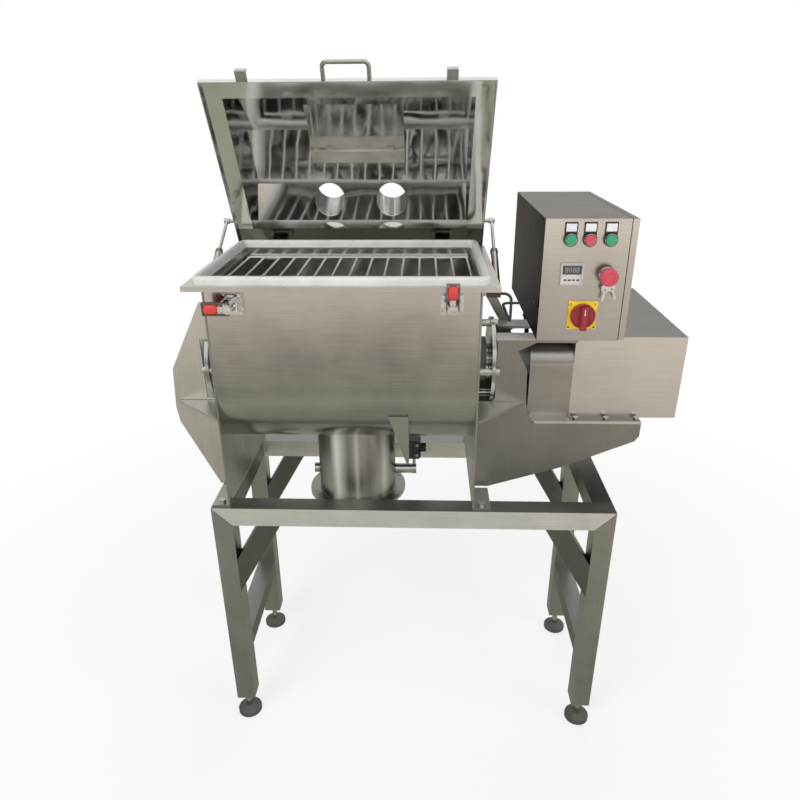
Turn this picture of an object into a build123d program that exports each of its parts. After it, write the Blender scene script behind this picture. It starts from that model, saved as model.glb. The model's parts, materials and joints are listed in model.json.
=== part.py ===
from build123d import *
import math
import os

# Ribbon blender on a square-tube stand, in millimetres.
# X runs to the drive end, Y to the rear, Z up from the floor.

# Stand
STAND_H = 710.0
STAND_SIDE = 9.0
DRIVE_SPACE = 400.0
TUBE = 50.0
TUBE_WALL = 3.0
LEG_Z = 68.0
STRETCHER_Z = 228.0
BRACE_IN = 62.0
PAD_R = 33.0
STEM_R = 8.0

# Trough
TROUGH_L = 600.0
TROUGH_IN = 44.0
TROUGH_R = 197.0
SHELL_T = 3.0
END_T = 4.0
BELLY_UP = 127.0
WALL_UP = 44.0
RIM_OVER = 34.0
RIM_SIDE = 30.0
RIM_LIP = 11.0
GASKET_H = 18.0
GASKET_W = 17.0
GASKET_OUT = 20.0
GRATE_DROP = 24.0
BAR_STEP = 41.0
BAR_R = 3.5
RAIL_R = 4.0

# Shaft and ribbons
SHAFT_R = 20.0
HUB_R = 42.0
HUB_X = 100.0
HUB_L = 58.0
HUB_GAP = 6.0
STUB_R = 18.0
STUB_L = 78.0
RUN_GAP = 0.05
WALL_GAP = 8.0
OUTER_BAND = 34.0
INNER_R = 108.0
INNER_BAND = 28.0
BAND_T = 5.0
ARM_R = 7.0
ARM_STEP = 70.0

# Side plates and drive
PLATE_Y = 84.0
PLATE_T = 6.0
ARM_REACH = 415.0
BASE_DROP = 135.0
SHELF_UP = 77.0
WINDOW = 77.0
SIDE_OUT = 140.0
SIDE_UP = 167.0
REDUCER_W = 100.0
REDUCER_H = 182.0
MOTOR_R = 68.0
MOTOR_L = 270.0
COVER_X = 240.0
COVER_L = 265.0
COVER_BACK = 407.0
COVER_FRONT = 58.0

# Control box
BOX_W = 189.0
BOX_H = 281.0
SHEET = 2.0
DOOR_T = 14.0
BOX_OUT = 140.0
INVERTER = 105.0
CONTACTOR = 75.0

# Lid
LID_OPEN = 62.0
LID_FRONT_OVER = 31.0
LID_REAR_OVER = 53.0
HINGE_OUT = 41.0
HINGE_DROP = 34.0
HINGE_IN = 72.0
FRONT_FLAT = 44.0
FRONT_RUN = 122.0
REAR_FLAT = 66.0
REAR_RUN = 91.0
EAVE_H = 38.0
ROOF_H = 76.0
CHIMNEY_H = 55.0
CHIMNEY_W = 246.0
CHIMNEY_IN = 85.0
PORT_GAP = 56.0
PORT_OFF = 4.0
PIPE_R = 43.0
PIPE_IN = 117.0
PIPE_STEP = 168.0
BARREL_L = 143.0

# Discharge
SPOUT_R = 103.0
FLANGE_R = 130.0
FLANGE_DROP = 55.0
VALVE_UP = 58.0

# Toggle clamps
CLAMP_IN = 62.0
CLAMP_DROP = 45.0

# Positions that follow from the sizes above
SW = (TROUGH_L + DRIVE_SPACE) / 2
SD = TROUGH_R + STAND_SIDE
H = STAND_H
ZA = H + BELLY_UP + TROUGH_R
ZR = ZA + TROUGH_R + WALL_UP
XC = TROUGH_IN + END_T + TROUGH_L / 2 - SW
XLI = XC - TROUGH_L / 2
XRI = XC + TROUGH_L / 2
XL = XLI - END_T
XR = XRI + END_T
RI = TROUGH_R - SHELL_T
RIM_X = TROUGH_L / 2 + END_T + RIM_OVER
RIM_Y = TROUGH_R + RIM_SIDE
OUTER_R = RI - WALL_GAP
BASE_Z = ZA - BASE_DROP
SHELF_Z = ZA + SHELF_UP
FLANGE_Z = H - FLANGE_DROP
BX0 = XR + BOX_OUT
BX1 = BX0 + BOX_W
BY0 = -PLATE_Y
BY1 = COVER_BACK
BZ0 = SHELF_Z
BZ1 = BZ0 + BOX_H
HINGE_Y = TROUGH_R + HINGE_OUT
HINGE_Z = ZR - HINGE_DROP
ZF = GASKET_H + 0.8 + HINGE_DROP
CLAMP_X = [XC - TROUGH_L / 2 + CLAMP_IN, XC + TROUGH_L / 2 - CLAMP_IN]

parts = {}


def box(x0, x1, y0, y1, z0, z1):
    middle = Pos((x0 + x1) / 2, (y0 + y1) / 2, (z0 + z1) / 2)
    return middle * Box(abs(x1 - x0), abs(y1 - y0), abs(z1 - z0))


def cx(r, x0, x1, y, z):
    return Pos((x0 + x1) / 2, y, z) * Rot(0, 90, 0) * Cylinder(r, x1 - x0)


def cy(r, y0, y1, x, z):
    return Pos(x, (y0 + y1) / 2, z) * Rot(90, 0, 0) * Cylinder(r, y1 - y0)


def cz(r, z0, z1, x, y):
    return Pos(x, y, (z0 + z1) / 2) * Cylinder(r, z1 - z0)


def prism_xz(pts, y0, y1):
    face = Face(Wire.make_polygon([Vector(x, y0, z) for x, z in pts], close=True))
    return Solid.extrude(face, Vector(0, y1 - y0, 0))


def prism_yz(pts, x0, x1):
    face = Face(Wire.make_polygon([Vector(x0, y, z) for y, z in pts], close=True))
    return Solid.extrude(face, Vector(x1 - x0, 0, 0))


def prism_xy(pts, z0, z1):
    face = Face(Wire.make_polygon([Vector(x, y, z0) for x, y in pts], close=True))
    return Solid.extrude(face, Vector(0, 0, z1 - z0))


def put(name, *shapes):
    solids = []
    for s in shapes:
        solids.extend(s.solids())
    parts[name] = solids


# Stand: mitred front and rear frames, ties and knee braces
legs = []
for sx in (-1, 1):
    for sy in (-1, 1):
        outer = [(sx * SW, LEG_Z), (sx * (SW - TUBE), LEG_Z), (sx * (SW - TUBE), H - TUBE), (sx * SW, H)]
        a = sx * (SW - TUBE_WALL)
        b = sx * (SW - TUBE + TUBE_WALL)
        inner = [(a, LEG_Z - 1), (b, LEG_Z - 1), (b, H - TUBE + TUBE_WALL + 1), (a, H - TUBE_WALL + 1)]
        y0 = sy * (SD - TUBE)
        y1 = sy * SD
        w = sy * TUBE_WALL
        legs.append(prism_xz(outer, y0, y1) - prism_xz(inner, y0 + w, y1 - w))
put("legs", *legs)

FOOT_XY = [(sx * (SW - TUBE / 2), sy * (SD - TUBE / 2)) for sx in (-1, 1) for sy in (-1, 1)]
END_FEET = [(XL - 20, -1), (XL - 20, 1), (XR + 20, -1), (XR + 20, 1)]
BOLT_Y = SD - TUBE / 2

beams = []
for sy in (-1, 1):
    outer = [(-SW, H), (SW, H), (SW - TUBE, H - TUBE), (-SW + TUBE, H - TUBE)]
    t = TUBE_WALL
    inner = [(-SW + t - 1, H - t), (SW - t + 1, H - t), (SW - TUBE + t + 1, H - TUBE + t),
             (-SW + TUBE - t - 1, H - TUBE + t)]
    y0 = sy * (SD - TUBE)
    y1 = sy * SD
    w = sy * t
    beam = prism_xz(outer, y0, y1) - prism_xz(inner, y0 + w, y1 - w)
    for fx, fs in END_FEET:
        if fs == sy:
            beam = beam - cz(5.2, H - 20, H + 5, fx, sy * BOLT_Y)
    beams.append(beam)
put("long_beams", *beams)

ties = []
for sx in (-1, 1):
    for z0 in (H - TUBE, STRETCHER_Z):
        x0 = sx * (SW - TUBE)
        x1 = sx * SW
        yy = SD - TUBE
        tie = box(x0, x1, -yy, yy, z0, z0 + TUBE)
        t = TUBE_WALL
        tie = tie - box(x0 + sx * t, x1 - sx * t, -yy - 1, yy + 1, z0 + t, z0 + TUBE - t)
        ties.append(tie)
S60 = math.sin(math.radians(60))
T60 = math.tan(math.radians(60))
for sx in (-1, 1):
    for sy in (-1, 1):
        xi = SW - TUBE
        zt = H - TUBE
        a = BRACE_IN
        b = a + TUBE / S60
        outer = [(sx * xi, zt - b * T60), (sx * xi, zt - a * T60), (sx * (xi - a), zt), (sx * (xi - b), zt)]
        a2 = a + TUBE_WALL / S60
        b2 = b - TUBE_WALL / S60
        inner = [(sx * (xi + 1), zt - b2 * T60 - T60), (sx * (xi + 1), zt - a2 * T60 - T60),
                 (sx * (xi - a2 - 1), zt + T60), (sx * (xi - b2 - 1), zt + T60)]
        y0 = sy * (SD - TUBE)
        y1 = sy * SD
        w = sy * TUBE_WALL
        ties.append(prism_xz(outer, y0, y1) - prism_xz(inner, y0 + w, y1 - w))
put("frame_ties", *ties)

# Levelling feet
stems = []
pads = []
for fx, fy in FOOT_XY:
    half = TUBE / 2 - TUBE_WALL
    plug = box(fx - half, fx + half, fy - half, fy + half, LEG_Z, LEG_Z + 10)
    plug = plug - cz(STEM_R, LEG_Z - 1, LEG_Z + 11, fx, fy)
    stem = cz(STEM_R, 14, LEG_Z + 24, fx, fy)
    nut = Pos(fx, fy, LEG_Z - 12) * extrude(RegularPolygon(14, 6), 12)
    stems.extend([plug, stem + nut])
    pad = cz(PAD_R, 0, 10, fx, fy) + Pos(fx, fy, 17) * Cone(PAD_R - 3, 15, 14)
    pads.append(pad - cz(STEM_R, 14, 40, fx, fy))
put("foot_stems", *stems)
put("foot_pads", *pads)

# Trough shell, end plates, rim, gasket and grate
TOP = ZR - SHELL_T
u_out = box(XLI, XRI, -TROUGH_R, TROUGH_R, ZA, TOP) + cx(TROUGH_R, XLI, XRI, 0, ZA)
u_in = box(XLI - 1, XRI + 1, -RI, RI, ZA, TOP + 1) + cx(RI, XLI - 1, XRI + 1, 0, ZA)
SPOUT_RI = SPOUT_R - SHELL_T
shell = u_out - u_in - cz(SPOUT_RI, FLANGE_Z, ZA, XC, 0)
put("trough_shell", shell)

ends = []
for sx, xo, xi in ((-1, XL, XLI), (1, XR, XRI)):
    plate = box(min(xo, xi), max(xo, xi), -TROUGH_R, TROUGH_R, H, TOP) - cx(26, XL - 5, XR + 5, 0, ZA)
    for sy in (-1, 1):
        foot = box(xo, xo + sx * 42, sy * (BOLT_Y - 82), sy * (BOLT_Y + 16), H, H + END_T)
        plate = plate + (foot - cz(5.2, H - 5, H + 20, xo + sx * 20, sy * BOLT_Y))
    ends.append(plate)
put("end_plates", *ends)

bolts = []
for fx, fs in END_FEET:
    head = Pos(fx, fs * BOLT_Y, H + END_T) * extrude(RegularPolygon(9.5, 6), 7)
    bolts.append(head + cz(5, H - 14, H + END_T, fx, fs * BOLT_Y))

rim_in = RIM_Y - SHELL_T
rim = box(XC - RIM_X, XC + RIM_X, -RIM_Y, RIM_Y, ZR - RIM_LIP, ZR)
rim = rim - box(XC - RIM_X + SHELL_T, XC + RIM_X - SHELL_T, -rim_in, rim_in, ZR - RIM_LIP - 1, TOP)
rim = rim - box(XLI, XRI, -RI, RI, ZR - RIM_LIP - 1, ZR + 1)
put("rim", rim)

g_x = TROUGH_L + 2 * GASKET_OUT
g_y = 2 * RI + 2 * GASKET_OUT
g_out = RectangleRounded(g_x, g_y, 26)
g_in = RectangleRounded(g_x - 2 * GASKET_W, g_y - 2 * GASKET_W, 26 - GASKET_W)
gasket = Pos(XC, 0, ZR) * extrude(g_out - g_in, GASKET_H)
top_edges = gasket.edges().filter_by_position(Axis.Z, ZR + GASKET_H - 0.1, ZR + GASKET_H + 0.1)
gasket = fillet(top_edges, 0.4 * GASKET_W)
put("gasket", gasket)

GRATE_Z = ZR - GRATE_DROP
gx = TROUGH_L / 2 - 10
gy = RI - 14
rails = [cx(RAIL_R, XC - gx - RAIL_R, XC + gx + RAIL_R, sy * gy, GRATE_Z) for sy in (-1, 1)]
N_GAPS = round(2 * gx / BAR_STEP)
bars = []
for i in range(N_GAPS + 1):
    bar_x = XC - gx + 2 * gx * i / N_GAPS
    bars.append(cy(BAR_R, -gy, gy, bar_x, GRATE_Z) - rails[0] - rails[1])
lugs = []
for sx in (-1, 1):
    for sy in (-1, 1):
        lx = XC + sx * (gx - 60)
        lugs.append(box(lx - 15, lx + 15, sy * (gy - 6), sy * RI, GRATE_Z - 10, GRATE_Z - 4))
put("safety_grate", *rails, *bars, *lugs)

# Side plates, gussets and shelves
ZG = ZA - 87
WX = XL - WINDOW + 19
SX = XL - SIDE_OUT
side = [(XL, H), (SX + 89, H), (SX + 5, BASE_Z - 8), (SX, BASE_Z + 31), (SX + 6, ZA),
        (SX + 91, ZA + SIDE_UP), (XL, ZA + SIDE_UP), (XL, ZA + WINDOW), (WX, ZA + WINDOW),
        (WX, ZA - WINDOW), (XL, ZA - WINDOW)]
left = []
for sy in (-1, 1):
    left.append(prism_xz(side, sy * (PLATE_Y - PLATE_T), sy * PLATE_Y))
    tri = [(XL, sy * TROUGH_R), (XL, sy * PLATE_Y), (XL - 132, sy * PLATE_Y)]
    left.append(prism_xy(tri, ZG - 4, ZG + 4))
put("left_side_plates", *left)

arm_end = XR + ARM_REACH
CVX0 = XR + COVER_X
CVX1 = CVX0 + COVER_L
col = [(XR, H), (XR + 44, H), (XR + 227, H + 58), (arm_end - 10, BASE_Z - 54), (arm_end, BASE_Z - 39),
       (arm_end, BASE_Z - 6), (XR + 151, BASE_Z - 6), (XR + 133, BASE_Z + 16), (XR + 127, ZA - 83),
       (XR + 124, ZA), (XR + 98, ZA + 53), (XR + 98, SHELF_Z - 6), (XR + 50, SHELF_Z - 6),
       (XR + 50, ZA - 70), (XR + 46, ZA - 80), (XR + 40, ZA - 84), (XR, ZA - 84)]
stay = [(XR, ZR - 45), (XR, ZR - 20), (XR + 14, ZR - 20), (XR + 98, SHELF_Z - 6), (XR + 72, SHELF_Z - 6)]
right = []
for sy in (-1, 1):
    plate = prism_xz(col, sy * (PLATE_Y - PLATE_T), sy * PLATE_Y)
    if sy == 1:
        plate = plate + prism_xz(stay, PLATE_Y - PLATE_T, PLATE_Y)
    right.append(plate)
    tri = [(XR, sy * TROUGH_R), (XR, sy * PLATE_Y), (XR + 122, sy * PLATE_Y)]
    right.append(prism_xy(tri, ZG - 4, ZG + 4))
    shelf = box(XR + 48, CVX0 - 1, sy * (PLATE_Y - 58), sy * PLATE_Y, SHELF_Z - 6, SHELF_Z)
    rib = [(XR + 98, SHELF_Z - 6), (XR + 142, SHELF_Z - 6), (XR + 98, SHELF_Z - 28)]
    right.append(shelf + prism_xz(rib, sy * (PLATE_Y - PLATE_T), sy * PLATE_Y))
put("right_side_plates", *right)

# Shaft seals, bearing plates on standoffs and bearings
seals = []
stands = []
for sx, xo in ((-1, XL), (1, XR)):
    def at(a, b):
        return min(xo + sx * a, xo + sx * b), max(xo + sx * a, xo + sx * b)
    s0, s1 = at(0, 28)
    seals.append(cx(56, s0, s1, 0, ZA) - cx(SHAFT_R + RUN_GAP, s0 - 1, s1 + 1, 0, ZA))
    p0, p1 = at(38, 47)
    disc = cx(106, p0, p1, 0, ZA) - cx(SHAFT_R + 6, p0 - 1, p1 + 1, 0, ZA)
    r0, r1 = at(0, 38)
    n0, n1 = at(47, 56)
    for py, pz in ((-94, 0), (94, 0), (0, 94), (0, -94)):
        disc = disc + cx(9, r0, r1, py, ZA + pz) + cx(9.5, n0, n1, py, ZA + pz)
    stands.append(disc)
    b0, b1 = at(47, 77)
    seals.append(cx(48, b0, b1, 0, ZA) - cx(SHAFT_R + RUN_GAP, b0 - 1, b1 + 1, 0, ZA))
put("bearings", *seals)
put("bearing_plates", *stands)

# Agitator: shaft, arms, outer and inner ribbons
SHAFT_END = XR + HUB_X + HUB_L
shaft = cx(SHAFT_R, XL - HUB_X + 10, SHAFT_END, 0, ZA)
put("agitator_shaft", shaft)
N_ARMS = int((TROUGH_L - 30) // ARM_STEP) + 1
RUN = ARM_STEP * (N_ARMS - 1)
X0 = XC - RUN / 2
PITCH = ARM_STEP * 4
arms = []
for i in range(N_ARMS):
    ax = X0 + i * ARM_STEP
    bar = Cylinder(ARM_R, 2 * (OUTER_R - OUTER_BAND / 2))
    bar = Pos(ax, 0, ZA) * Rot(90 * i, 0, 0) * bar
    arms.append(bar - cx(SHAFT_R, ax - 20, ax + 20, 0, ZA))
put("agitator_arms", *arms)


def ribbon(r_out, band, hand, start):
    r_mid = r_out - band / 2
    extra = 8.0
    run = RUN + 2 * extra
    path = Helix(PITCH, run, r_mid, lefthand=(hand < 0))
    sec = Plane(origin=path @ 0, x_dir=(1, 0, 0), z_dir=path % 0) * Rectangle(band, BAND_T)
    body = sweep(sec, path, is_frenet=True)
    body = Rot(0, 90, 0) * body
    lead = -hand * 360.0 * extra / PITCH
    return Pos(X0 - extra, 0, ZA) * Rot(start + lead, 0, 0) * body


put("outer_ribbons", ribbon(OUTER_R, OUTER_BAND, 1, 0), ribbon(OUTER_R, OUTER_BAND, 1, 180))
put("inner_ribbons", ribbon(INNER_R, INNER_BAND, -1, 0), ribbon(INNER_R, INNER_BAND, -1, 180))

# Drive: coupling, reducer, motor and covers
HUB_B = SHAFT_END + HUB_GAP
STUB_X = HUB_B + HUB_L
STUB_END = STUB_X + STUB_L
hub_a = cx(HUB_R, XR + HUB_X, SHAFT_END, 0, ZA) - cx(SHAFT_R, XR + HUB_X - 1, SHAFT_END + 1, 0, ZA)
hub_b = cx(HUB_R, HUB_B, STUB_X, 0, ZA)
web = cx(HUB_R, SHAFT_END, HUB_B, 0, ZA)
stub = cx(STUB_R, STUB_X, STUB_END, 0, ZA)
put("coupling", hub_a, hub_b + stub, web)

BI = PLATE_Y - PLATE_T
base = box(XR + 133, arm_end, -BI, BI, BASE_Z - 6, BASE_Z)
base = base + box(XR + 151, arm_end, -PLATE_Y, PLATE_Y, BASE_Z - 6, BASE_Z)
GX = CVX0 + 82
half = REDUCER_W / 2
m_end = half + MOTOR_L
reducer = box(GX - 70, GX + 46, -half, half, BASE_Z, BASE_Z + REDUCER_H)
reducer = reducer - cx(STUB_R + RUN_GAP, CVX0, STUB_END + 2, 0, ZA)
motor = cy(MOTOR_R, half, m_end, GX, ZA - 24) + cy(MOTOR_R + 4, m_end, m_end + 52, GX, ZA - 24)
motor = motor + box(GX + 20, GX + MOTOR_R + 22, half + 70, half + 160, ZA - 20, ZA + 40)
put("gear_motor", reducer, motor)

cover = box(CVX0, CVX1, -COVER_FRONT, COVER_BACK, BASE_Z, SHELF_Z)
inside_y = (SHEET - COVER_FRONT, COVER_BACK - SHEET)
cover = cover - box(CVX0 + SHEET, CVX1 - SHEET, *inside_y, BASE_Z - 1, SHELF_Z - SHEET)
cover = cover - cx(24, CVX0 - 5, CVX0 + 5, 0, ZA)
cover = cover + box(CVX0, arm_end - 2, -PLATE_Y, -COVER_FRONT, BASE_Z, BASE_Z + SHEET)
CV_BOLTS = [CVX0 + 15, CVX0 + 90, CVX0 + 165]
for bx_ in CV_BOLTS:
    cover = cover - cz(4.2, BASE_Z - 5, BASE_Z + 5, bx_, -71)
    base = base - cz(4.2, BASE_Z - 10, BASE_Z + 5, bx_, -71)
    head = Pos(bx_, -71, BASE_Z + SHEET) * extrude(RegularPolygon(7.5, 6), 5)
    bolts.append(head + cz(4, BASE_Z - 6, BASE_Z + SHEET, bx_, -71))
put("drive_base", base)
put("motor_cover", cover)

g0 = XR + 135
guard = box(g0, CVX0, -COVER_FRONT, COVER_FRONT, BASE_Z, ZA) + cx(COVER_FRONT, g0, CVX0, 0, ZA)
gi = COVER_FRONT - SHEET
guard = guard - box(g0 - 1, CVX0 + 1, -gi, gi, BASE_Z - 1, ZA) - cx(gi, g0 - 1, CVX0 + 1, 0, ZA)
put("coupling_guard", guard)

# Control box, door and panel
PF = BY0
PB = BY0 + SHEET
body = box(BX0, BX1, BY0, BY1, BZ0, BZ1)
body = body - box(BX0 + SHEET, BX1 + 1, PB, BY1 - SHEET, BZ0 + SHEET, BZ1 - SHEET)
DX0 = BX1 + 2
DX1 = DX0 + DOOR_T
door = box(DX0, DX1, BY0, BY1, BZ0 + 2, BZ1)
door = door - box(DX0 - 1, DX1 - SHEET, BY0 + SHEET, BY1 - SHEET, BZ0 + 4, BZ1 - SHEET)
HX = DX0 + 1
HY = BY1 + 6
pins = []
for hz in (BZ0 + 60, BZ1 - 60):
    leaf = box(HX - 30, HX - 6, BY1, BY1 + 2.5, hz - 24, hz + 24)
    for k0, k1 in ((hz - 24, hz - 8.3), (hz + 8.3, hz + 24)):
        leaf = leaf + cz(5, k0, k1, HX, HY) + box(HX - 12, HX - 2.6, BY1, HY, k0, k1)
    pins.append(leaf + cz(2.5, hz - 24, hz + 24, HX, HY))
    knuckle = cz(5, hz - 8, hz + 8, HX, HY) + box(HX + 1, HX + 11, BY1, HY, hz - 8, hz + 8)
    door = door + (knuckle - cz(2.5 + RUN_GAP, hz - 10, hz + 10, HX, HY))
lock = cx(9, DX1, DX1 + 5, BY0 + 40, (BZ0 + BZ1) / 2)
put("control_door", door + lock)
put("door_hinge_pins", *pins)

BTN_Z = BZ1 - 45
BTN_X = [BX0 + 57, BX0 + 99.5, BX0 + 145]
ES_X = BX0 + 146
ES_Z = BZ0 + 157
SWX = BX0 + 100
SWZ = BZ0 + 63
MX = BX0 + 67
MZ = BZ0 + 159
holders = []
inner_parts = []
caps = []
for b in BTN_X:
    body = body - cy(8.5, PF - 1, PB + 1, b, BTN_Z)
    hold = cy(15, PF - 9, PF, b, BTN_Z) + box(b - 14, b + 14, PF - 3, PF, BTN_Z, BTN_Z + 38)
    holders.append(hold - cy(11.5, PF - 10, PF + 1, b, BTN_Z))
    caps.append(cy(11.2, PF - 12, PF - 4.5, b, BTN_Z) + cy(6, PF - 4.5, PF + 14, b, BTN_Z))
    block = cy(12, PB, PB + 16, b, BTN_Z) + box(b - 14, b + 14, PB + 16, PB + 46, BTN_Z - 16, BTN_Z + 16)
    inner_parts.append(block - cy(8, PB - 1, PB + 20, b, BTN_Z))
put("button_holders", *holders)
put("start_button", caps[0])
put("stop_button", caps[1])
put("jog_button", caps[2])

body = body - cy(9.6, PF - 1, PB + 1, ES_X, ES_Z)
es_base = cy(15, PF - 12, PF, ES_X, ES_Z) - cy(9.4, PF - 13, PF + 1, ES_X, ES_Z)
put("estop_base", es_base)
dome = cy(20, PF - 34, PF - 20, ES_X, ES_Z)
dome = fillet(dome.edges().filter_by_position(Axis.Y, PF - 34.1, PF - 33.9), 5)
put("estop_button", dome + cy(9, PF - 20, PF + 14, ES_X, ES_Z))
block = cy(14, PB, PB + 18, ES_X, ES_Z) + box(ES_X - 15, ES_X + 15, PB + 18, PB + 46, ES_Z - 15, ES_Z + 15)
inner_parts.append(block - cy(9.6, PB - 1, PB + 22, ES_X, ES_Z))

ring = Pos(ES_X, PF - 13.5, ES_Z + 9.3 - 15) * Rot(90, 0, 0) * Torus(16.2, 1.2)
keys = ring
for ang in (-26, 8):
    bow = cy(9, -1, 1, 0, -23) + box(-2.5, 2.5, -1, 1, -52, -26)
    bow = bow - cy(2.5, -2, 2, 0, -26)
    keys = keys + Pos(ES_X, PF - 13.5, ES_Z + 9.3 - 15) * Rot(0, ang, 0) * bow
put("key_ring", keys)

plate = box(SWX - 33, SWX + 33, PF - 3, PF, SWZ - 33, SWZ + 33)
put("switch_plate", plate - cy(4.3, PF - 5, PF + 1, SWX, SWZ))
body = body - cy(4.3, PF - 1, PB + 1, SWX, SWZ)
knob = cy(28, PF - 14, PF - 3.4, SWX, SWZ)
grip = box(SWX - 7, SWX + 7, PF - 30, PF - 14, SWZ - 30, SWZ + 24)
put("switch_knob", knob + grip + cy(4, PF - 4, PF + 8, SWX, SWZ))
block = box(SWX - 25, SWX + 25, PB, PB + 44, SWZ - 25, SWZ + 25)
inner_parts.append(block - cy(4.3, PB - 1, PB + 9, SWX, SWZ))

body = body - box(MX - 22.5, MX + 22.5, PF - 1, PB + 1, MZ - 22.5, MZ + 22.5)
meter = box(MX - 25, MX + 25, PF - 5, PF, MZ - 25, MZ + 25)
put("speed_meter", meter + box(MX - 22, MX + 22, PF, PF + 60, MZ - 22, MZ + 22))
put("control_box", body)
back = box(BX0 + SHEET, BX0 + 5, 60, BY1 - 20, BZ0 + 20, BZ1 - 20)
inner_parts.append(back)
far = BY1 - 77
inner_parts.append(box(BX0 + 5, BX0 + 5 + INVERTER, far - 130, far, BZ0 + 60, BZ0 + 230))
for cy_far in (far - 153, far - 205):
    inner_parts.append(box(BX0 + 5, BX0 + 5 + CONTACTOR, cy_far - 45, cy_far, BZ0 + 120, BZ0 + 200))
put("panel_internals", *inner_parts)

# Lid sensor lead and drive lead
sx0 = XC + RIM_X - 28
sensor = box(sx0, sx0 + 28, -RIM_Y + 5, -RIM_Y + 25, ZR - 23, ZR - SHELL_T)
sensor = sensor - box(sx0 + 24, sx0 + 40, -RIM_Y, -RIM_Y + 40, ZR - 12, ZR)
ly = -RIM_Y + 15
lz = ZR - 17
lead_path = FilletPolyline((sx0 + 28, ly, lz), (sx0 + 52, ly, lz), (sx0 + 52, ly, ZR - 80),
                           (sx0 + 52, -60, ZR - 80), (BX0, -60, ZR - 80), radius=16)
lead = sweep(Plane(origin=lead_path @ 0, z_dir=lead_path % 0) * Circle(3), lead_path)
con_y = half + 80
con_path = FilletPolyline((BX0 + 10, con_y, BZ0), (BX0 + 10, con_y, ZA - 24),
                          (CVX0, con_y, ZA - 24), radius=30)
con = sweep(Plane(origin=con_path @ 0, z_dir=con_path % 0) * Circle(6), con_path)
put("sensor_and_leads", sensor, lead, con)

# Discharge spout and butterfly valve
VZ = FLANGE_Z + VALVE_UP
spout = cz(SPOUT_R, FLANGE_Z, ZA, XC, 0) - cx(TROUGH_R, XC - 200, XC + 200, 0, ZA)
spout = spout.solids().sort_by(Axis.Z)[0]
spout = spout + cz(FLANGE_R, FLANGE_Z, FLANGE_Z + 8, XC, 0) + cx(13, XC, XC + SPOUT_R + 45, 0, VZ)
spout = spout + cx(13, XC - SPOUT_R - 14, XC, 0, VZ)
spout = spout - cz(SPOUT_RI, FLANGE_Z - 1, ZA, XC, 0)
spout = spout - cx(7 + RUN_GAP, XC - SPOUT_R - 8, XC + SPOUT_R + 60, 0, VZ)
BOLT_R = FLANGE_R - 12
for i in range(8):
    q = math.radians(45 * i + 22.5)
    spout = spout - cz(5.5, FLANGE_Z - 1, FLANGE_Z + 9, XC + BOLT_R * math.cos(q), BOLT_R * math.sin(q))
brx = XC + 137
wt = 11 - TROUGH_R
wb = 67 - TROUGH_R
wi = 147 - TROUGH_R
zt = ZA - 78
zb = ZA - TROUGH_R - 37
wing = [(wt, zt), (wb, zb), (wi, zb), (wi, zt - 52), (wi - 50, zt - 12)]
bracket = prism_yz(wing, brx, brx + 6)
slant = [(wt, zt), (wb, zb), (wb + 5, zb), (wt + 5, zt)]
face = prism_yz(slant, brx - 42, brx)
face = face & prism_xz([(brx - 42, zt + 3), (brx, zt + 3), (brx, zb)], wt - 34, wb + 30)
bracket = (bracket + face) - cx(TROUGH_R, XLI, XRI, 0, ZA)
put("spout", spout, bracket)

EX = XC + SPOUT_R + 45.4
disc = cz(SPOUT_RI - 0.5, VZ - 3, VZ + 3, XC, 0) + cx(7, XC - SPOUT_R - 7, EX + 12, 0, VZ)
lever = cx(14, EX, EX + 12, 0, VZ) + cz(4, VZ, VZ + 70, EX + 6, 0)
put("discharge_valve", disc + lever)

# Lever head: waisted clamp block with a side knob
HX0 = EX - 21
HX1 = EX + 24
HZ0 = VZ + 38
HZ1 = VZ + 92
HZM = (HZ0 + HZ1) / 2
head = box(HX0, HX1, -17, 17, HZ0, HZ1)
head = fillet(head.edges().filter_by(Axis.Y), 9)
for side_x in (HX0 - 4, HX1 + 4):
    head = head - cy(9, -18, 18, side_x, HZM)
knob = cx(12, HX1 - 6, HX1 + 14, 0, HZM)
for i in range(6):
    q = math.radians(60 * i + 30)
    knob = knob - cx(3.5, HX1 - 7, HX1 + 15, 13 * math.cos(q), HZM + 13 * math.sin(q))
head = head + knob - cz(4, VZ, VZ + 70, EX + 6, 0)
put("lever_head", head)
head_bolts = []
for dx in (10, 35):
    for dz in (12, 42):
        head_bolts.append(cy(4, -20, -17, HX0 + dx, HZ0 + dz))
put("head_bolts", *head_bolts)

# Lid, drawn closed about the hinge axis and then turned open
LX0 = XC - RIM_X
LX1 = XC + RIM_X
YF = -TROUGH_R - LID_FRONT_OVER - HINGE_Y
YB = LID_REAR_OVER - HINGE_OUT


def swing(shape):
    return Pos(0, HINGE_Y, HINGE_Z) * Rot(-LID_OPEN, 0, 0) * shape


OX0 = XC - TROUGH_L / 2 + 7
OX1 = XC + TROUGH_L / 2 - 7
y1 = YF + FRONT_FLAT
y2 = y1 + FRONT_RUN
y4 = YB - REAR_FLAT
y3 = y4 - REAR_RUN
t = SHEET
ZE = ZF + EAVE_H
ZT = ZF + ROOF_H
ro = [(y1 - t, ZF), (y1 - t, ZE + 0.8 * t), (y2 - 0.1 * t, ZT + t), (y3 + 0.2 * t, ZT + t),
      (y4 + t, ZE + 0.7 * t), (y4 + t, ZF)]
ri = [(y1, ZF - 1), (y1, ZE), (y2, ZT), (y3, ZT), (y4, ZE), (y4, ZF - 1)]
flange = box(LX0, LX1, YF, YB, ZF - 12, ZF + t) - box(LX0 + t, LX1 - t, YF + t, YB - t, ZF - 13, ZF)
roof = prism_yz(ro, OX0 - t, OX1 + t)
lid = flange + roof - prism_yz(ri, OX0, OX1)
PX = XC + PORT_OFF
CW = CHIMNEY_W / 2
CT = ZT + CHIMNEY_H
PY = YB - PIPE_IN
cy0 = YF + CHIMNEY_IN
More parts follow.
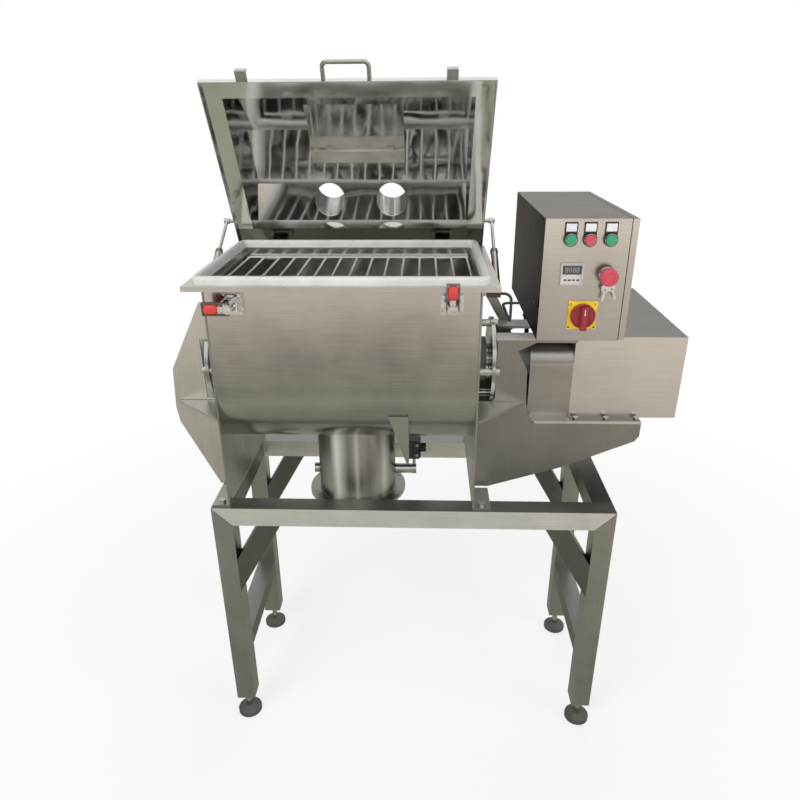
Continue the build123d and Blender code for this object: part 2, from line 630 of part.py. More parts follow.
cy1 = PY - PIPE_R - PORT_GAP
PIPE_T = CT - 4
PIPE_X = [PX - PIPE_STEP / 2, PX + PIPE_STEP / 2]
inner_c = box(PX - CW + t, PX + CW - t, cy0 + t, cy1 - t, ZF, CT + 1)
lid = lid - inner_c
for px in PIPE_X:
    lid = lid - cz(PIPE_R - t, ZF, CT, px, PY)
put("lid_shell", swing(lid))

chim = box(PX - CW, PX + CW, cy0, cy1, ZF + 10, CT) - inner_c - roof
HHY = cy1 + 12
HHZ = CT + 2
HATCH_X = [PX - 80, PX + 80]
for hx in HATCH_X:
    for e0 in (hx - 16, hx + 11):
        chim = chim + box(e0, e0 + 5, cy1, HHY + 6, HHZ - 22, HHZ + 6)
    chim = chim + cx(3, hx - 17, hx + 17, HHY, HHZ)
ports = [swing(chim)]
for px in PIPE_X:
    pipe = cz(PIPE_R, ZF + 4, PIPE_T, px, PY) - roof - cz(PIPE_R - t, ZF, CT, px, PY)
    ports.append(swing(pipe))
put("lid_ports", *ports)

hatch = box(PX - CW - 6, PX + CW + 6, cy0 - 6, cy1 + 2, CT + 0.5, CT + 12)
hatch = hatch - box(PX - CW - 4, PX + CW + 4, cy0 - 4, cy1 + 3, CT - 1, CT + 10)
hatch = hatch + box(PX - CW - 6, PX + CW + 6, cy0 - 6, cy0 - 4, CT - 14, CT + 1)
for hx in HATCH_X:
    strap = cx(6, hx - 10, hx + 10, HHY, HHZ) + box(hx - 10, hx + 10, cy1 - 10, HHY, CT + 3, CT + 8)
    strap = strap + box(hx - 10, hx + 10, cy1 - 10, cy1 + 2, CT + 3, CT + 11)
    hatch = hatch + (strap - cx(3 + RUN_GAP, hx - 20, hx + 20, HHY, HHZ))
put("hatch_cover", swing(hatch))
knob = cz(7, CT + 12, CT + 22, PX, cy0 + 22) + cz(13, CT + 22, CT + 34, PX, cy0 + 22)
put("hatch_knob", swing(knob))

bar = FilletPolyline((XC - 52, YF, ZF - 5), (XC - 52, YF - 40, ZF - 5), (XC + 52, YF - 40, ZF - 5),
                     (XC + 52, YF, ZF - 5), radius=12)
handle = sweep(Plane(origin=bar @ 0, z_dir=bar % 0) * Circle(5), bar)
fittings = [handle]
for hx in CLAMP_X:
    hook = box(hx - 13, hx + 13, YF - 20, YF, ZF - 3, ZF)
    fittings.append(hook + box(hx - 13, hx + 13, YF - 20, YF - 17, ZF - 3, ZF + 10))
LH = [XLI + HINGE_IN, XRI - HINGE_IN]
for hx in LH:
    arm = cx(11, hx - 20, hx + 20, 0, 0) + box(hx - 20, hx + 20, -6, 8, 0, ZF)
    fittings.append(arm - cx(6 + RUN_GAP, hx - 30, hx + 30, 0, 0))
SY = -2.05 * HINGE_OUT
SZ = ZF - 6
fittings.append(cx(5, LX1, LX1 + 12.5, SY, SZ))
fittings.append(cx(5, LX0 - 12.5, LX0, SY, SZ))
put("lid_fittings", *[swing(f) for f in fittings])

brackets = []
for hx in LH:
    br = box(hx - 32, hx + 32, TROUGH_R, TROUGH_R + 6, HINGE_Z - 25, HINGE_Z + 15)
    br = br + box(hx - 30, hx - 22, TROUGH_R, HINGE_Y + 12, HINGE_Z - 12, HINGE_Z + 12)
    br = br + box(hx + 22, hx + 30, TROUGH_R, HINGE_Y + 12, HINGE_Z - 12, HINGE_Z + 12)
    brackets.append(br + cx(6, hx - 32, hx + 32, HINGE_Y, HINGE_Z))

# Gas springs
GY = HINGE_Y - 218
GZ = ZR - 70
ca = math.cos(math.radians(LID_OPEN))
sa = math.sin(math.radians(LID_OPEN))
UY = HINGE_Y + SY * ca + SZ * sa
UZ = HINGE_Z - SY * sa + SZ * ca
ALPHA = math.degrees(math.atan2(UZ - GZ, UY - GY))
G_LEN = math.hypot(UZ - GZ, UY - GY)
for name, sx, xf, xo in (("left", -1, XL, LX0), ("right", 1, XR, LX1)):
    e0 = xo + sx * 13
    e1 = xo + sx * 25
    ea, eb = min(e0, e1), max(e0, e1)
    em = (ea + eb) / 2
    brk = box(xf, xo + sx * 5, GY - 12, GY + 12, GZ - 12, GZ + 12)
    pa, pb = sorted((xo, xo + sx * 26))
    brk = brk + cx(4, pa, pb, GY, GZ)
    ha, hb = sorted((xo + sx * 26, xo + sx * 29))
    brackets.append(brk + cx(7, ha, hb, GY, GZ))
    tilt = Pos(0, GY, GZ) * Rot(ALPHA, 0, 0)
    barrel = cy(9, 8, BARREL_L, em, 0) + cx(9, ea, eb, 0, 0)
    barrel = barrel - cx(4 + RUN_GAP, ea - 1, eb + 1, 0, 0)
    barrel = barrel - cy(7, 22, BARREL_L - 4, em, 0) - cy(4 + RUN_GAP, BARREL_L - 10, BARREL_L + 1, em, 0)
    put("gas_barrel_" + name, tilt * barrel)
    head_y = BARREL_L - 19
    rod = cy(4, head_y + 2, G_LEN, em, 0) + cy(6.7, head_y, head_y + 10, em, 0) + cx(8, ea, eb, G_LEN, 0)
    put("gas_rod_" + name, tilt * rod)
put("lid_brackets", *brackets)

# Toggle clamps on the front wall
CZ = ZR - CLAMP_DROP
FY = -TROUGH_R
LV0 = FY - 45.5
LV1 = FY - 37.5
bases = []
for hx, name, turn in ((CLAMP_X[0], "left", -90), (CLAMP_X[1], "right", 0)):
    b = box(hx - 24, hx + 24, FY - 5, FY, CZ - 23, CZ + 23) + cy(11, LV1 + 0.5, FY - 5, hx, CZ)
    b = b + cy(6, LV0 - 0.5, LV1 + 0.5, hx, CZ) + cy(9, LV0 - 3.5, LV0 - 0.5, hx, CZ)
    b = b + cx(8, hx - 18, hx + 18, FY - 22, CZ)
    for sx in (-1, 1):
        b = b + box(hx + sx * 14, hx + sx * 18, FY - 30, FY - 5, CZ - 12, CZ + 12)
        for sz in (-1, 1):
            b = b + cy(4, FY - 9, FY - 5, hx + sx * 18, CZ + sz * 17.5)
    bases.append(b)
    place = Pos(hx, 0, CZ) * Rot(0, turn, 0)
    arm = box(-6, 6, LV0, LV1, 0, 34)
    lv = cy(11, LV0, LV1, 0, 0) + arm
    lv = lv - cy(6 + RUN_GAP, LV0 - 5, LV1 + 5, 0, 0)
    put("clamp_lever_" + name, place * lv)
    gr = box(-11.5, 11.5, LV0 - 5, LV1 + 5, 20, 52)
    gr = fillet(gr.edges().filter_by(Axis.Y), 7)
    put("clamp_grip_" + name, place * (gr - arm))
put("clamp_bases", *bases)
put("bolts", *bolts)

# One shared frame: the middle of the footprint on the floor
lo = [1e9, 1e9]
hi = [-1e9, -1e9]
for solids in parts.values():
    for s in solids:
        bb = s.bounding_box()
        lo = [min(lo[0], bb.min.X), min(lo[1], bb.min.Y)]
        hi = [max(hi[0], bb.max.X), max(hi[1], bb.max.Y)]
shift = Pos(-(lo[0] + hi[0]) / 2, -(lo[1] + hi[1]) / 2, 0)
print("shift", -(lo[0] + hi[0]) / 2, -(lo[1] + hi[1]) / 2)
os.makedirs("parts", exist_ok=True)
for name, solids in parts.items():
    moved = [shift * s for s in solids]
    shape = moved[0] if len(moved) == 1 else Compound(children=moved)
    export_step(shape, "parts/" + name + ".step")
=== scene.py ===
import bpy
import bmesh
import json
import math
from mathutils import Matrix, Vector


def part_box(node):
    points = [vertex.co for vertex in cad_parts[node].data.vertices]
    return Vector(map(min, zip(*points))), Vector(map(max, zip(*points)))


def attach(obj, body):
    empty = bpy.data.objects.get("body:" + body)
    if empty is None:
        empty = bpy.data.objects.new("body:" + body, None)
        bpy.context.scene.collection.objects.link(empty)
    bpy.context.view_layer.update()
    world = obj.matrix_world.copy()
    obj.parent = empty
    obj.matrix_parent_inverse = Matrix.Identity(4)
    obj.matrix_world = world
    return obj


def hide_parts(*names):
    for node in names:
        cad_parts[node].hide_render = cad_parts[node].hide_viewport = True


# Ribbon blender in a plain pale studio. Metres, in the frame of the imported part.
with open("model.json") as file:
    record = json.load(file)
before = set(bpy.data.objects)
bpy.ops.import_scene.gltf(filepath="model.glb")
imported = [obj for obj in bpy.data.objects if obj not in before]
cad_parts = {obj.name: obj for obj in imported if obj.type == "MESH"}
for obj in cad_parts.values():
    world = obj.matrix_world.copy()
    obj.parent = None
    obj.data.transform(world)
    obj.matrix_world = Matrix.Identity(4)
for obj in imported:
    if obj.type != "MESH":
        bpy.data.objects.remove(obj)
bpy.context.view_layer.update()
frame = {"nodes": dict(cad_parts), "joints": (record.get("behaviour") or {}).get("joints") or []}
NODES = frame["nodes"]
SCENE = bpy.context.scene
MM = 0.001


# Values read from the frame
def low(node):
    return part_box(node)[0]


def high(node):
    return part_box(node)[1]


def middle(node):
    return (low(node) + high(node)) / 2


def joint(name):
    return [j for j in frame["joints"] if j["name"] == name][0]


def pivot_of(name):
    return Vector(joint(name)["pos_m"])


AXIS = pivot_of("agitator_turn")
HINGE = pivot_of("lid_hinge")
SPOUT = pivot_of("valve_turn")
LID_OPEN = math.radians(joint("lid_hinge")["range_deg"][1])
LID_GAP = 0.8 * MM
LID_RISE = high("gasket").z + LID_GAP - HINGE.z
SHELL_LO = low("trough_shell")
SHELL_HI = high("trough_shell")
SHELL_R = (SHELL_HI.y - SHELL_LO.y) / 2
BOX_LO = low("control_box")
BOX_HI = high("control_box")
PANEL_Y = BOX_LO.y

# Sizes of the part that the frame doesn't give
SPOUT_R = 0.102
REAR_FLANGE = 0.054
PIPE_FRONT = 0.176

# Noise stays mostly between these two values
NOISE_LOW = 0.3
NOISE_HIGH = 0.7

# A face looks along an axis when its normal's share on that axis passes this
SQUARE_ON = 0.7

WHITE = (1.0, 1.0, 1.0)


# Node helpers for the materials
def new_material(name):
    mat = bpy.data.materials.new(name)
    mat.use_nodes = True
    tree = mat.node_tree
    shader = tree.nodes["Principled BSDF"]
    return mat, tree, shader


def add(tree, kind, **values):
    node = tree.nodes.new(kind)
    for key, value in values.items():
        setattr(node, key, value)
    return node


def object_coords(tree):
    return add(tree, "ShaderNodeTexCoord").outputs["Object"]


def stretched(tree, scale):
    mapping = add(tree, "ShaderNodeMapping")
    mapping.inputs["Scale"].default_value = scale
    tree.links.new(object_coords(tree), mapping.inputs["Vector"])
    return mapping.outputs["Vector"]


def noise(tree, vector, scale, detail=3.0, roughness=0.5):
    node = add(tree, "ShaderNodeTexNoise")
    node.inputs["Scale"].default_value = scale
    node.inputs["Detail"].default_value = detail
    node.inputs["Roughness"].default_value = roughness
    tree.links.new(vector, node.inputs["Vector"])
    return node.outputs["Fac"]


def ramp(tree, value, stops):
    node = add(tree, "ShaderNodeValToRGB")
    elements = node.color_ramp.elements
    while len(elements) < len(stops):
        elements.new(0.5)
    for element, (place, colour) in zip(elements, stops):
        element.position = place
        element.color = (*colour, 1.0)
    tree.links.new(value, node.inputs["Fac"])
    return node.outputs["Color"]


def spread(tree, value, from_min, from_max, to_min=0.0, to_max=1.0):
    node = add(tree, "ShaderNodeMapRange")
    node.inputs["From Min"].default_value = from_min
    node.inputs["From Max"].default_value = from_max
    node.inputs["To Min"].default_value = to_min
    node.inputs["To Max"].default_value = to_max
    tree.links.new(value, node.inputs["Value"])
    return node.outputs["Result"]


def noise_colour(tree, value, dark, light):
    return ramp(tree, value, [(NOISE_LOW, dark), (NOISE_HIGH, light)])


def noise_value(tree, value, least, most):
    return spread(tree, value, NOISE_LOW, NOISE_HIGH, least, most)


def grey_ramp(tree, value, stops):
    return ramp(tree, value, [(place, (share, share, share)) for place, share in stops])


def connect(tree, socket, value):
    """Links a socket to another node's output, or sets it to a plain value."""
    if isinstance(value, bpy.types.NodeSocket):
        tree.links.new(value, socket)
    else:
        socket.default_value = value


def blend_colour(tree, mode, factor, first, second):
    node = add(tree, "ShaderNodeMix", data_type="RGBA", blend_type=mode)
    for index, value in ((0, factor), (6, first), (7, second)):
        connect(tree, node.inputs[index], value)
    return node.outputs[2]


def blend_value(tree, factor, first, second):
    node = add(tree, "ShaderNodeMix", data_type="FLOAT")
    for index, value in ((0, factor), (2, first), (3, second)):
        connect(tree, node.inputs[index], value)
    return node.outputs[0]


def maths(tree, operation, first, second=0.0):
    node = add(tree, "ShaderNodeMath", operation=operation)
    connect(tree, node.inputs[0], first)
    connect(tree, node.inputs[1], second)
    return node.outputs[0]


def sum_of_squares(tree, first, second):
    return maths(tree, "ADD", maths(tree, "MULTIPLY", first, first), maths(tree, "MULTIPLY", second, second))


def bump(tree, shader, height, strength, distance):
    node = add(tree, "ShaderNodeBump")
    node.inputs["Strength"].default_value = strength
    node.inputs["Distance"].default_value = distance
    tree.links.new(height, node.inputs["Height"])
    tree.links.new(node.outputs["Normal"], shader.inputs["Normal"])


def axis_value(tree, axis):
    split = add(tree, "ShaderNodeSeparateXYZ")
    tree.links.new(object_coords(tree), split.inputs["Vector"])
    return split.outputs[axis]


def offset(tree, axis, origin):
    return maths(tree, "SUBTRACT", axis_value(tree, axis), origin)


def facing(tree, axis):
    split = add(tree, "ShaderNodeSeparateXYZ")
    tree.links.new(add(tree, "ShaderNodeNewGeometry").outputs["Normal"], split.inputs["Vector"])
    return split.outputs[axis]


def up_face(tree):
    return maths(tree, "GREATER_THAN", facing(tree, "Z"), SQUARE_ON)


def front_face(tree):
    return maths(tree, "LESS_THAN", facing(tree, "Y"), -SQUARE_ON)


def left_face(tree):
    return maths(tree, "LESS_THAN", facing(tree, "X"), -SQUARE_ON)


def paint_shade_where(mat, make_mask, share):
    """Paints shade: scales a finish's colour and its edge tint down on the faces or places that a mask picks
    out.
    """
    tree = mat.node_tree
    shader = tree.nodes["Principled BSDF"]
    mask = make_mask(tree)
    socket = shader.inputs["Base Color"]
    whole = socket.links[0].from_socket
    dim = blend_colour(tree, "MULTIPLY", 1.0, whole, (share, share, share, 1.0))
    tree.links.new(blend_colour(tree, "MIX", mask, whole, dim), socket)
    edge = tuple(shader.inputs["Specular Tint"].default_value)
    dim_edge = tuple(c * share for c in edge[:3]) + (1.0,)
    tree.links.new(blend_colour(tree, "MIX", mask, edge, dim_edge), shader.inputs["Specular Tint"])
    return mat


def paint_glare_where(mat, make_mask, share):
    """Paints glare: lets a finish scatter a share of the light where a mask picks it out, as where steel
    glares.
    """
    tree = mat.node_tree
    loss = maths(tree, "MULTIPLY", make_mask(tree), share)
    tree.links.new(maths(tree, "SUBTRACT", 1.0, loss), tree.nodes["Principled BSDF"].inputs["Metallic"])
    return mat


def paint_light_bands(mat, make_bands, stops, make_mask):
    """Lays painted light and shade over a finish as light and dark bands where a mask picks it out."""
    tree = mat.node_tree
    socket = tree.nodes["Principled BSDF"].inputs["Base Color"]
    whole = socket.links[0].from_socket
    light = grey_ramp(tree, make_bands(tree), stops)
    tree.links.new(blend_colour(tree, "MULTIPLY", make_mask(tree), whole, light), socket)
    return mat


# Stainless sheet: fine grain along one axis and wiped clouds
GRAIN = {"X": (8.0, 900.0, 900.0), "Y": (900.0, 8.0, 900.0), "Z": (900.0, 900.0, 8.0)}
GRAIN_DARK = (0.86, 0.86, 0.86)
GRAIN_HEIGHT = 0.0004
STEEL = (0.60, 0.585, 0.555)


def scaled(colour, share):
    return tuple(c * share for c in colour)


def toned_steel(tone):
    return tuple(min(1.0, c) for c in scaled(STEEL, tone))


def brushed_steel(name, grain="X", tone=1.0, rough=(0.24, 0.38), cloud=0.22, grain_depth=0.12,
                  painted_top_tone=None, edge=1.0):
    """Sheet steel. Tone scales its colour to paint light and shade into a part, upward faces can take their
    own tone as painted light and shade, and edge tints it at a slant.
    """
    mat, tree, shader = new_material(name)
    shader.inputs["Metallic"].default_value = 1.0
    shader.inputs["Specular Tint"].default_value = (edge, edge, edge, 1.0)
    lines = noise(tree, stretched(tree, GRAIN[grain]), 1.0, 2.0)
    clouds = noise(tree, object_coords(tree), 7.0, 4.0, 0.6)
    bright = toned_steel(tone)
    tint = noise_colour(tree, clouds, scaled(bright, 1 - cloud), bright)
    # Upward faces take their own tone: painted light and shade
    if painted_top_tone:
        over = toned_steel(painted_top_tone)
        painted_top_tint = noise_colour(tree, clouds, scaled(over, 0.9), over)
        tint = blend_colour(tree, "MIX", up_face(tree), tint, painted_top_tint)
    hair = noise_colour(tree, lines, GRAIN_DARK, WHITE)
    tint = blend_colour(tree, "MULTIPLY", 1.0, tint, hair)
    tree.links.new(tint, shader.inputs["Base Color"])
    both = maths(tree, "ADD", maths(tree, "MULTIPLY", lines, 0.5), maths(tree, "MULTIPLY", clouds, 0.5))
    tree.links.new(noise_value(tree, both, *rough), shader.inputs["Roughness"])
    bump(tree, shader, lines, grain_depth, GRAIN_HEIGHT)
    return mat


# Polished and turned steel: faint waves and clouds
WAVE_HEIGHT = 0.004


def polished_steel(name, colour, rough=(0.05, 0.14), wave=0.25, wave_scale=9.0):
    mat, tree, shader = new_material(name)
    shader.inputs["Metallic"].default_value = 1.0
    clouds = noise(tree, object_coords(tree), 14.0, 4.0, 0.6)
    tree.links.new(noise_colour(tree, clouds, scaled(colour, 0.82), colour), shader.inputs["Base Color"])
    tree.links.new(noise_value(tree, clouds, *rough), shader.inputs["Roughness"])
    waves = noise(tree, object_coords(tree), wave_scale, 1.0)
    bump(tree, shader, waves, wave, WAVE_HEIGHT)
    return mat


# Plastic, rubber and castings: specks and light wear
SPECK_HEIGHT = 0.0003


def plastic(name, colour, rough=(0.3, 0.42), coat=0.0, grain=0.04, scale=900.0):
    mat, tree, shader = new_material(name)
    specks = noise(tree, object_coords(tree), scale, 2.0)
    wear = noise(tree, object_coords(tree), 60.0, 3.0)
    tree.links.new(noise_colour(tree, wear, scaled(colour, 0.86), colour), shader.inputs["Base Color"])
    tree.links.new(noise_value(tree, wear, *rough), shader.inputs["Roughness"])
    shader.inputs["Coat Weight"].default_value = coat
    bump(tree, shader, specks, grain, SPECK_HEIGHT)
    return mat


def lid_run(tree):
    """Distance from the hinge along the closed lid, less than zero towards its front."""
    run = maths(tree, "MULTIPLY", offset(tree, "Y", HINGE.y), math.cos(LID_OPEN))
    rise = maths(tree, "MULTIPLY", offset(tree, "Z", HINGE.z), math.sin(LID_OPEN))
    return maths(tree, "SUBTRACT", run, rise)


# Lid sheet: mirror polish inside, satin on the flat flange, with painted shade at its rear
LID_FLANGE_STEP = 1.8 * MM
REAR_SHADE = (0.35, 0.35, 0.35, 1.0)


def lid_material():
    mat, tree, shader = new_material("lid_sheet")
    shader.inputs["Metallic"].default_value = 1.0
    across = math.cos(LID_OPEN)
    along = math.sin(LID_OPEN)
    depth = maths(tree, "ADD", maths(tree, "MULTIPLY", axis_value(tree, "Y"), along),
                  maths(tree, "MULTIPLY", axis_value(tree, "Z"), across))
    flange_depth = HINGE.y * along + HINGE.z * across + LID_RISE + LID_FLANGE_STEP
    inside = maths(tree, "GREATER_THAN", depth, flange_depth)
    clouds = noise(tree, object_coords(tree), 9.0, 4.0, 0.6)
    satin = noise_colour(tree, clouds, (0.68, 0.68, 0.64), (0.80, 0.80, 0.76))
    rear = maths(tree, "GREATER_THAN", lid_run(tree), -REAR_FLANGE)
    # Painted shade on the flange's rear
    satin = blend_colour(tree, "MULTIPLY", rear, satin, REAR_SHADE)
    mirror = noise_colour(tree, clouds, (0.55, 0.54, 0.52), (0.70, 0.69, 0.67))
    tree.links.new(blend_colour(tree, "MIX", inside, satin, mirror), shader.inputs["Base Color"])
    satin_rough = noise_value(tree, clouds, 0.06, 0.13)
    mirror_rough = noise_value(tree, clouds, 0.04, 0.10)
    tree.links.new(blend_value(tree, inside, satin_rough, mirror_rough), shader.inputs["Roughness"])
    waves = noise(tree, object_coords(tree), 8.0, 1.0)
    bump(tree, shader, waves, 0.35, WAVE_HEIGHT)
    return mat


# Trough sheet: brushed, with a pale tint inside as painted light that lifts its shade
INSIDE_MARGIN = 1.5 * MM
TROUGH_INSIDE_PAINTED_LIGHT = (0.92, 0.92, 0.89, 1.0)


def trough_material():
    mat = brushed_steel("trough_sheet_painted_light", "X", tone=1.12, rough=(0.15, 0.25), cloud=0.2, grain_depth=0.06)
    tree = mat.node_tree
    socket = tree.nodes["Principled BSDF"].inputs["Base Color"]
    side = offset(tree, "Y", AXIS.y)
    drop = maths(tree, "MINIMUM", offset(tree, "Z", AXIS.z), 0.0)
    radius = maths(tree, "SQRT", sum_of_squares(tree, side, drop))
    inside = maths(tree, "LESS_THAN", radius, SHELL_R - INSIDE_MARGIN)
    outer = socket.links[0].from_socket
    # Painted light: a pale tint that lifts the shaded inside
    tree.links.new(blend_colour(tree, "MIX", inside, outer, TROUGH_INSIDE_PAINTED_LIGHT), socket)
    return mat


# White gasket and seal: soft, with a little light under the skin
def silicone_material():
    mat, tree, shader = new_material("white_silicone")
    clouds = noise(tree, object_coords(tree), 22.0, 4.0)
    tree.links.new(ramp(tree, clouds, [(0.3, (0.57, 0.58, 0.56)), (0.65, (0.68, 0.685, 0.665))]),
                   shader.inputs["Base Color"])
    tree.links.new(noise_value(tree, clouds, 0.38, 0.5), shader.inputs["Roughness"])
    shader.inputs["Subsurface Weight"].default_value = 0.12
    shader.inputs["Subsurface Radius"].default_value = (0.006, 0.006, 0.006)
    bump(tree, shader, noise(tree, object_coords(tree), 60.0, 2.0), 0.06, 0.001)
    return mat


# Places where the steel finishes paint light, shade and glare
SHELF_BAND = 15 * MM
SPOUT_SLACK = 3 * MM
UPRIGHT_BELOW = 0.5


def shelf_top(tree):
    off = maths(tree, "ABSOLUTE", offset(tree, "Z", BOX_LO.z))
    return maths(tree, "MULTIPLY", up_face(tree), maths(tree, "LESS_THAN", off, SHELF_BAND))


def near_spout(tree):
    square = sum_of_squares(tree, offset(tree, "X", SPOUT.x), offset(tree, "Y", SPOUT.y))
    return maths(tree, "LESS_THAN", square, (SPOUT_R + SPOUT_SLACK) ** 2)


def behind_pipe_front(tree):
    return maths(tree, "GREATER_THAN", lid_run(tree), -PIPE_FRONT)


# Painted light and shade on the steel, in bands: a place on a scale from 0 to 1, and the share of colour or
# glare there
SPOUT_PAINTED_STREAKS = [(0.0, 0.4), (0.1, 0.5), (0.25, 1.2), (0.33, 1.15), (0.44, 0.6), (0.54, 1.0), (0.7, 0.55),
               (0.88, 1.2), (1.0, 0.45)]
SPOUT_PAINTED_GLARE = [(0.2, 0.0), (0.29, 1.0), (0.34, 0.5), (0.44, 0.0), (0.5, 0.0), (0.545, 0.5), (0.59, 0.0),
               (0.82, 0.0), (0.88, 0.7), (0.95, 0.0)]
PIPE_PAINTED_REFLECTION = [(0.36, 0.1), (0.5, 0.3), (0.6, 0.6), (0.7, 0.25)]
PANEL_PAINTED_LIGHT = [(0.0, 0.92), (0.45, 1.0), (0.72, 1.15), (0.95, 1.45)]


def across_spout(tree):
    return spread(tree, axis_value(tree, "X"), SPOUT.x - SPOUT_R, SPOUT.x + SPOUT_R)


# Where the spout takes its painted glare
def painted_spout_glare(tree):
    bands = grey_ramp(tree, across_spout(tree), SPOUT_PAINTED_GLARE)
    upright = maths(tree, "LESS_THAN", maths(tree, "ABSOLUTE", facing(tree, "Z")), UPRIGHT_BELOW)
    return maths(tree, "MULTIPLY", maths(tree, "MULTIPLY", bands, upright), near_spout(tree))


def up_the_box(tree):
    return spread(tree, axis_value(tree, "Z"), BOX_LO.z, BOX_HI.z)


def painted_pipe_streaks(tree):
    return noise(tree, stretched(tree, (38.0, 2.0, 2.0)), 1.0, 1.0)


# Finishes, with tones raised or lowered part by part as painted light and shade
SATIN = (0.3, 0.44)
STEEL_X = brushed_steel("steel_x", "X")
# Frame ties: a darker tone as painted shade
STEEL_Y_PAINTED_SHADE = brushed_steel("steel_y_painted_shade", "Y", tone=0.45)
LEG_STEEL = brushed_steel("steel_leg", "Z")
END_STEEL = brushed_steel("steel_end", "Z")
# Rim: a lighter tone as painted light
RIM_STEEL = brushed_steel("steel_rim", "X", tone=1.35)
# Left side plates and drive base: lighter tones as painted light
PLATE = brushed_steel("steel_plate", "Z", tone=1.55, rough=SATIN, cloud=0.12, grain_depth=0.05, painted_top_tone=1.3)
# Right side plates: a darker tone as painted shade, lighter upward faces and a glare on the shelf as painted
# light
PAINTED_ARM_PLATE = paint_glare_where(
    brushed_steel("steel_arm_plate_painted_light_and_shade", "Z", tone=0.7, rough=SATIN, cloud=0.16, grain_depth=0.05, painted_top_tone=1.6),
    shelf_top, 0.9)
# Beams: a lighter tone and a glare on the front as painted light, darker upward faces as painted shade
BEAM_STEEL = paint_glare_where(
    brushed_steel("steel_beam", "X", tone=1.6, rough=SATIN, cloud=0.16, grain_depth=0.06, painted_top_tone=0.5),
    front_face, 0.22)
# Motor cover: a lighter tone as painted light, darker upward faces as painted shade
COVER = brushed_steel("steel_cover", "X", tone=1.4, rough=(0.26, 0.38), cloud=0.14, painted_top_tone=0.7, edge=0.6)


def box_steel():
    # Control box: darker upward faces as painted shade
    mat = brushed_steel("steel_box_painted_light_and_shade", "X", tone=1.08, rough=(0.24, 0.36), cloud=0.16, painted_top_tone=0.6, edge=0.75)
    # Painted shade on the box's left side
    paint_shade_where(mat, left_face, 0.28)
    # The panel front: painted light, brighter towards the top
    return paint_light_bands(mat, up_the_box, PANEL_PAINTED_LIGHT, front_face)


def spout_steel():
    # Spout: a lighter tone as painted light, darker upward faces as painted shade
    mat = brushed_steel("steel_spout_painted_light_and_shade", "Z", tone=1.35, rough=(0.26, 0.38), cloud=0.14, grain_depth=0.06,
                        painted_top_tone=0.5)
    # Painted highlight streaks across the spout
    paint_light_bands(mat, across_spout, SPOUT_PAINTED_STREAKS, near_spout)
    # Painted glare along those streaks
    return paint_glare_where(mat, painted_spout_glare, 0.6)


BOX_STEEL = box_steel()
SPOUT_STEEL = spout_steel()
GUARD_STEEL = brushed_steel("steel_guard", "X", tone=0.9, rough=(0.26, 0.38), cloud=0.25, grain_depth=0.1)
ROUND = polished_steel("steel_turned", (0.60, 0.59, 0.56), rough=(0.14, 0.24), wave=0.08)
MIRROR = polished_steel("steel_polished", (0.74, 0.73, 0.71))
# Lid ports: dark and light streaks behind the pipes' front as painted reflection
PORT_STEEL = paint_light_bands(polished_steel("port_steel_painted_reflection", (0.95, 0.92, 0.87), rough=(0.08, 0.16), wave=0.2),
                    painted_pipe_streaks, PIPE_PAINTED_REFLECTION, behind_pipe_front)
BAR_STEEL = polished_steel("grate_steel", (0.82, 0.82, 0.80), rough=(0.12, 0.2), wave=0.05)
RIBBON_STEEL = polished_steel("ribbon_steel", (0.62, 0.62, 0.59), rough=(0.2, 0.3))
DARK_STEEL = polished_steel("steel_dark", (0.28, 0.28, 0.27), rough=(0.25, 0.35))
ALLOY = plastic("grey_casting", (0.30, 0.31, 0.31), rough=(0.45, 0.6), grain=0.2, scale=300.0)
CHROME = polished_steel("chrome", (0.68, 0.68, 0.67), rough=(0.06, 0.12), wave=0.05, wave_scale=60.0)
SILICONE = silicone_material()
RUBBER = plastic("black_rubber", (0.035, 0.035, 0.033), rough=(0.5, 0.65), grain=0.15, scale=500.0)
PAD = plastic("pad_rubber", (0.085, 0.085, 0.078), rough=(0.45, 0.6), grain=0.15, scale=500.0)
BLACK = plastic("black_plastic", (0.028, 0.028, 0.028), rough=(0.35, 0.5))
RED_GRIP = plastic("red_grip", (0.62, 0.045, 0.04), rough=(0.28, 0.4), coat=0.3)
RED = plastic("red_cap", (0.60, 0.07, 0.09), rough=(0.28, 0.38), coat=0.2)
DEEP_RED = plastic("red_switch", (0.32, 0.022, 0.03), rough=(0.3, 0.42), coat=0.2)
GREEN = plastic("green_cap", (0.035, 0.34, 0.15), rough=(0.28, 0.38), coat=0.2)
YELLOW = plastic("yellow_plate", (0.86, 0.60, 0.03), rough=(0.35, 0.45))
PALE = plastic("pale_plastic", (0.60, 0.58, 0.54), rough=(0.4, 0.5))

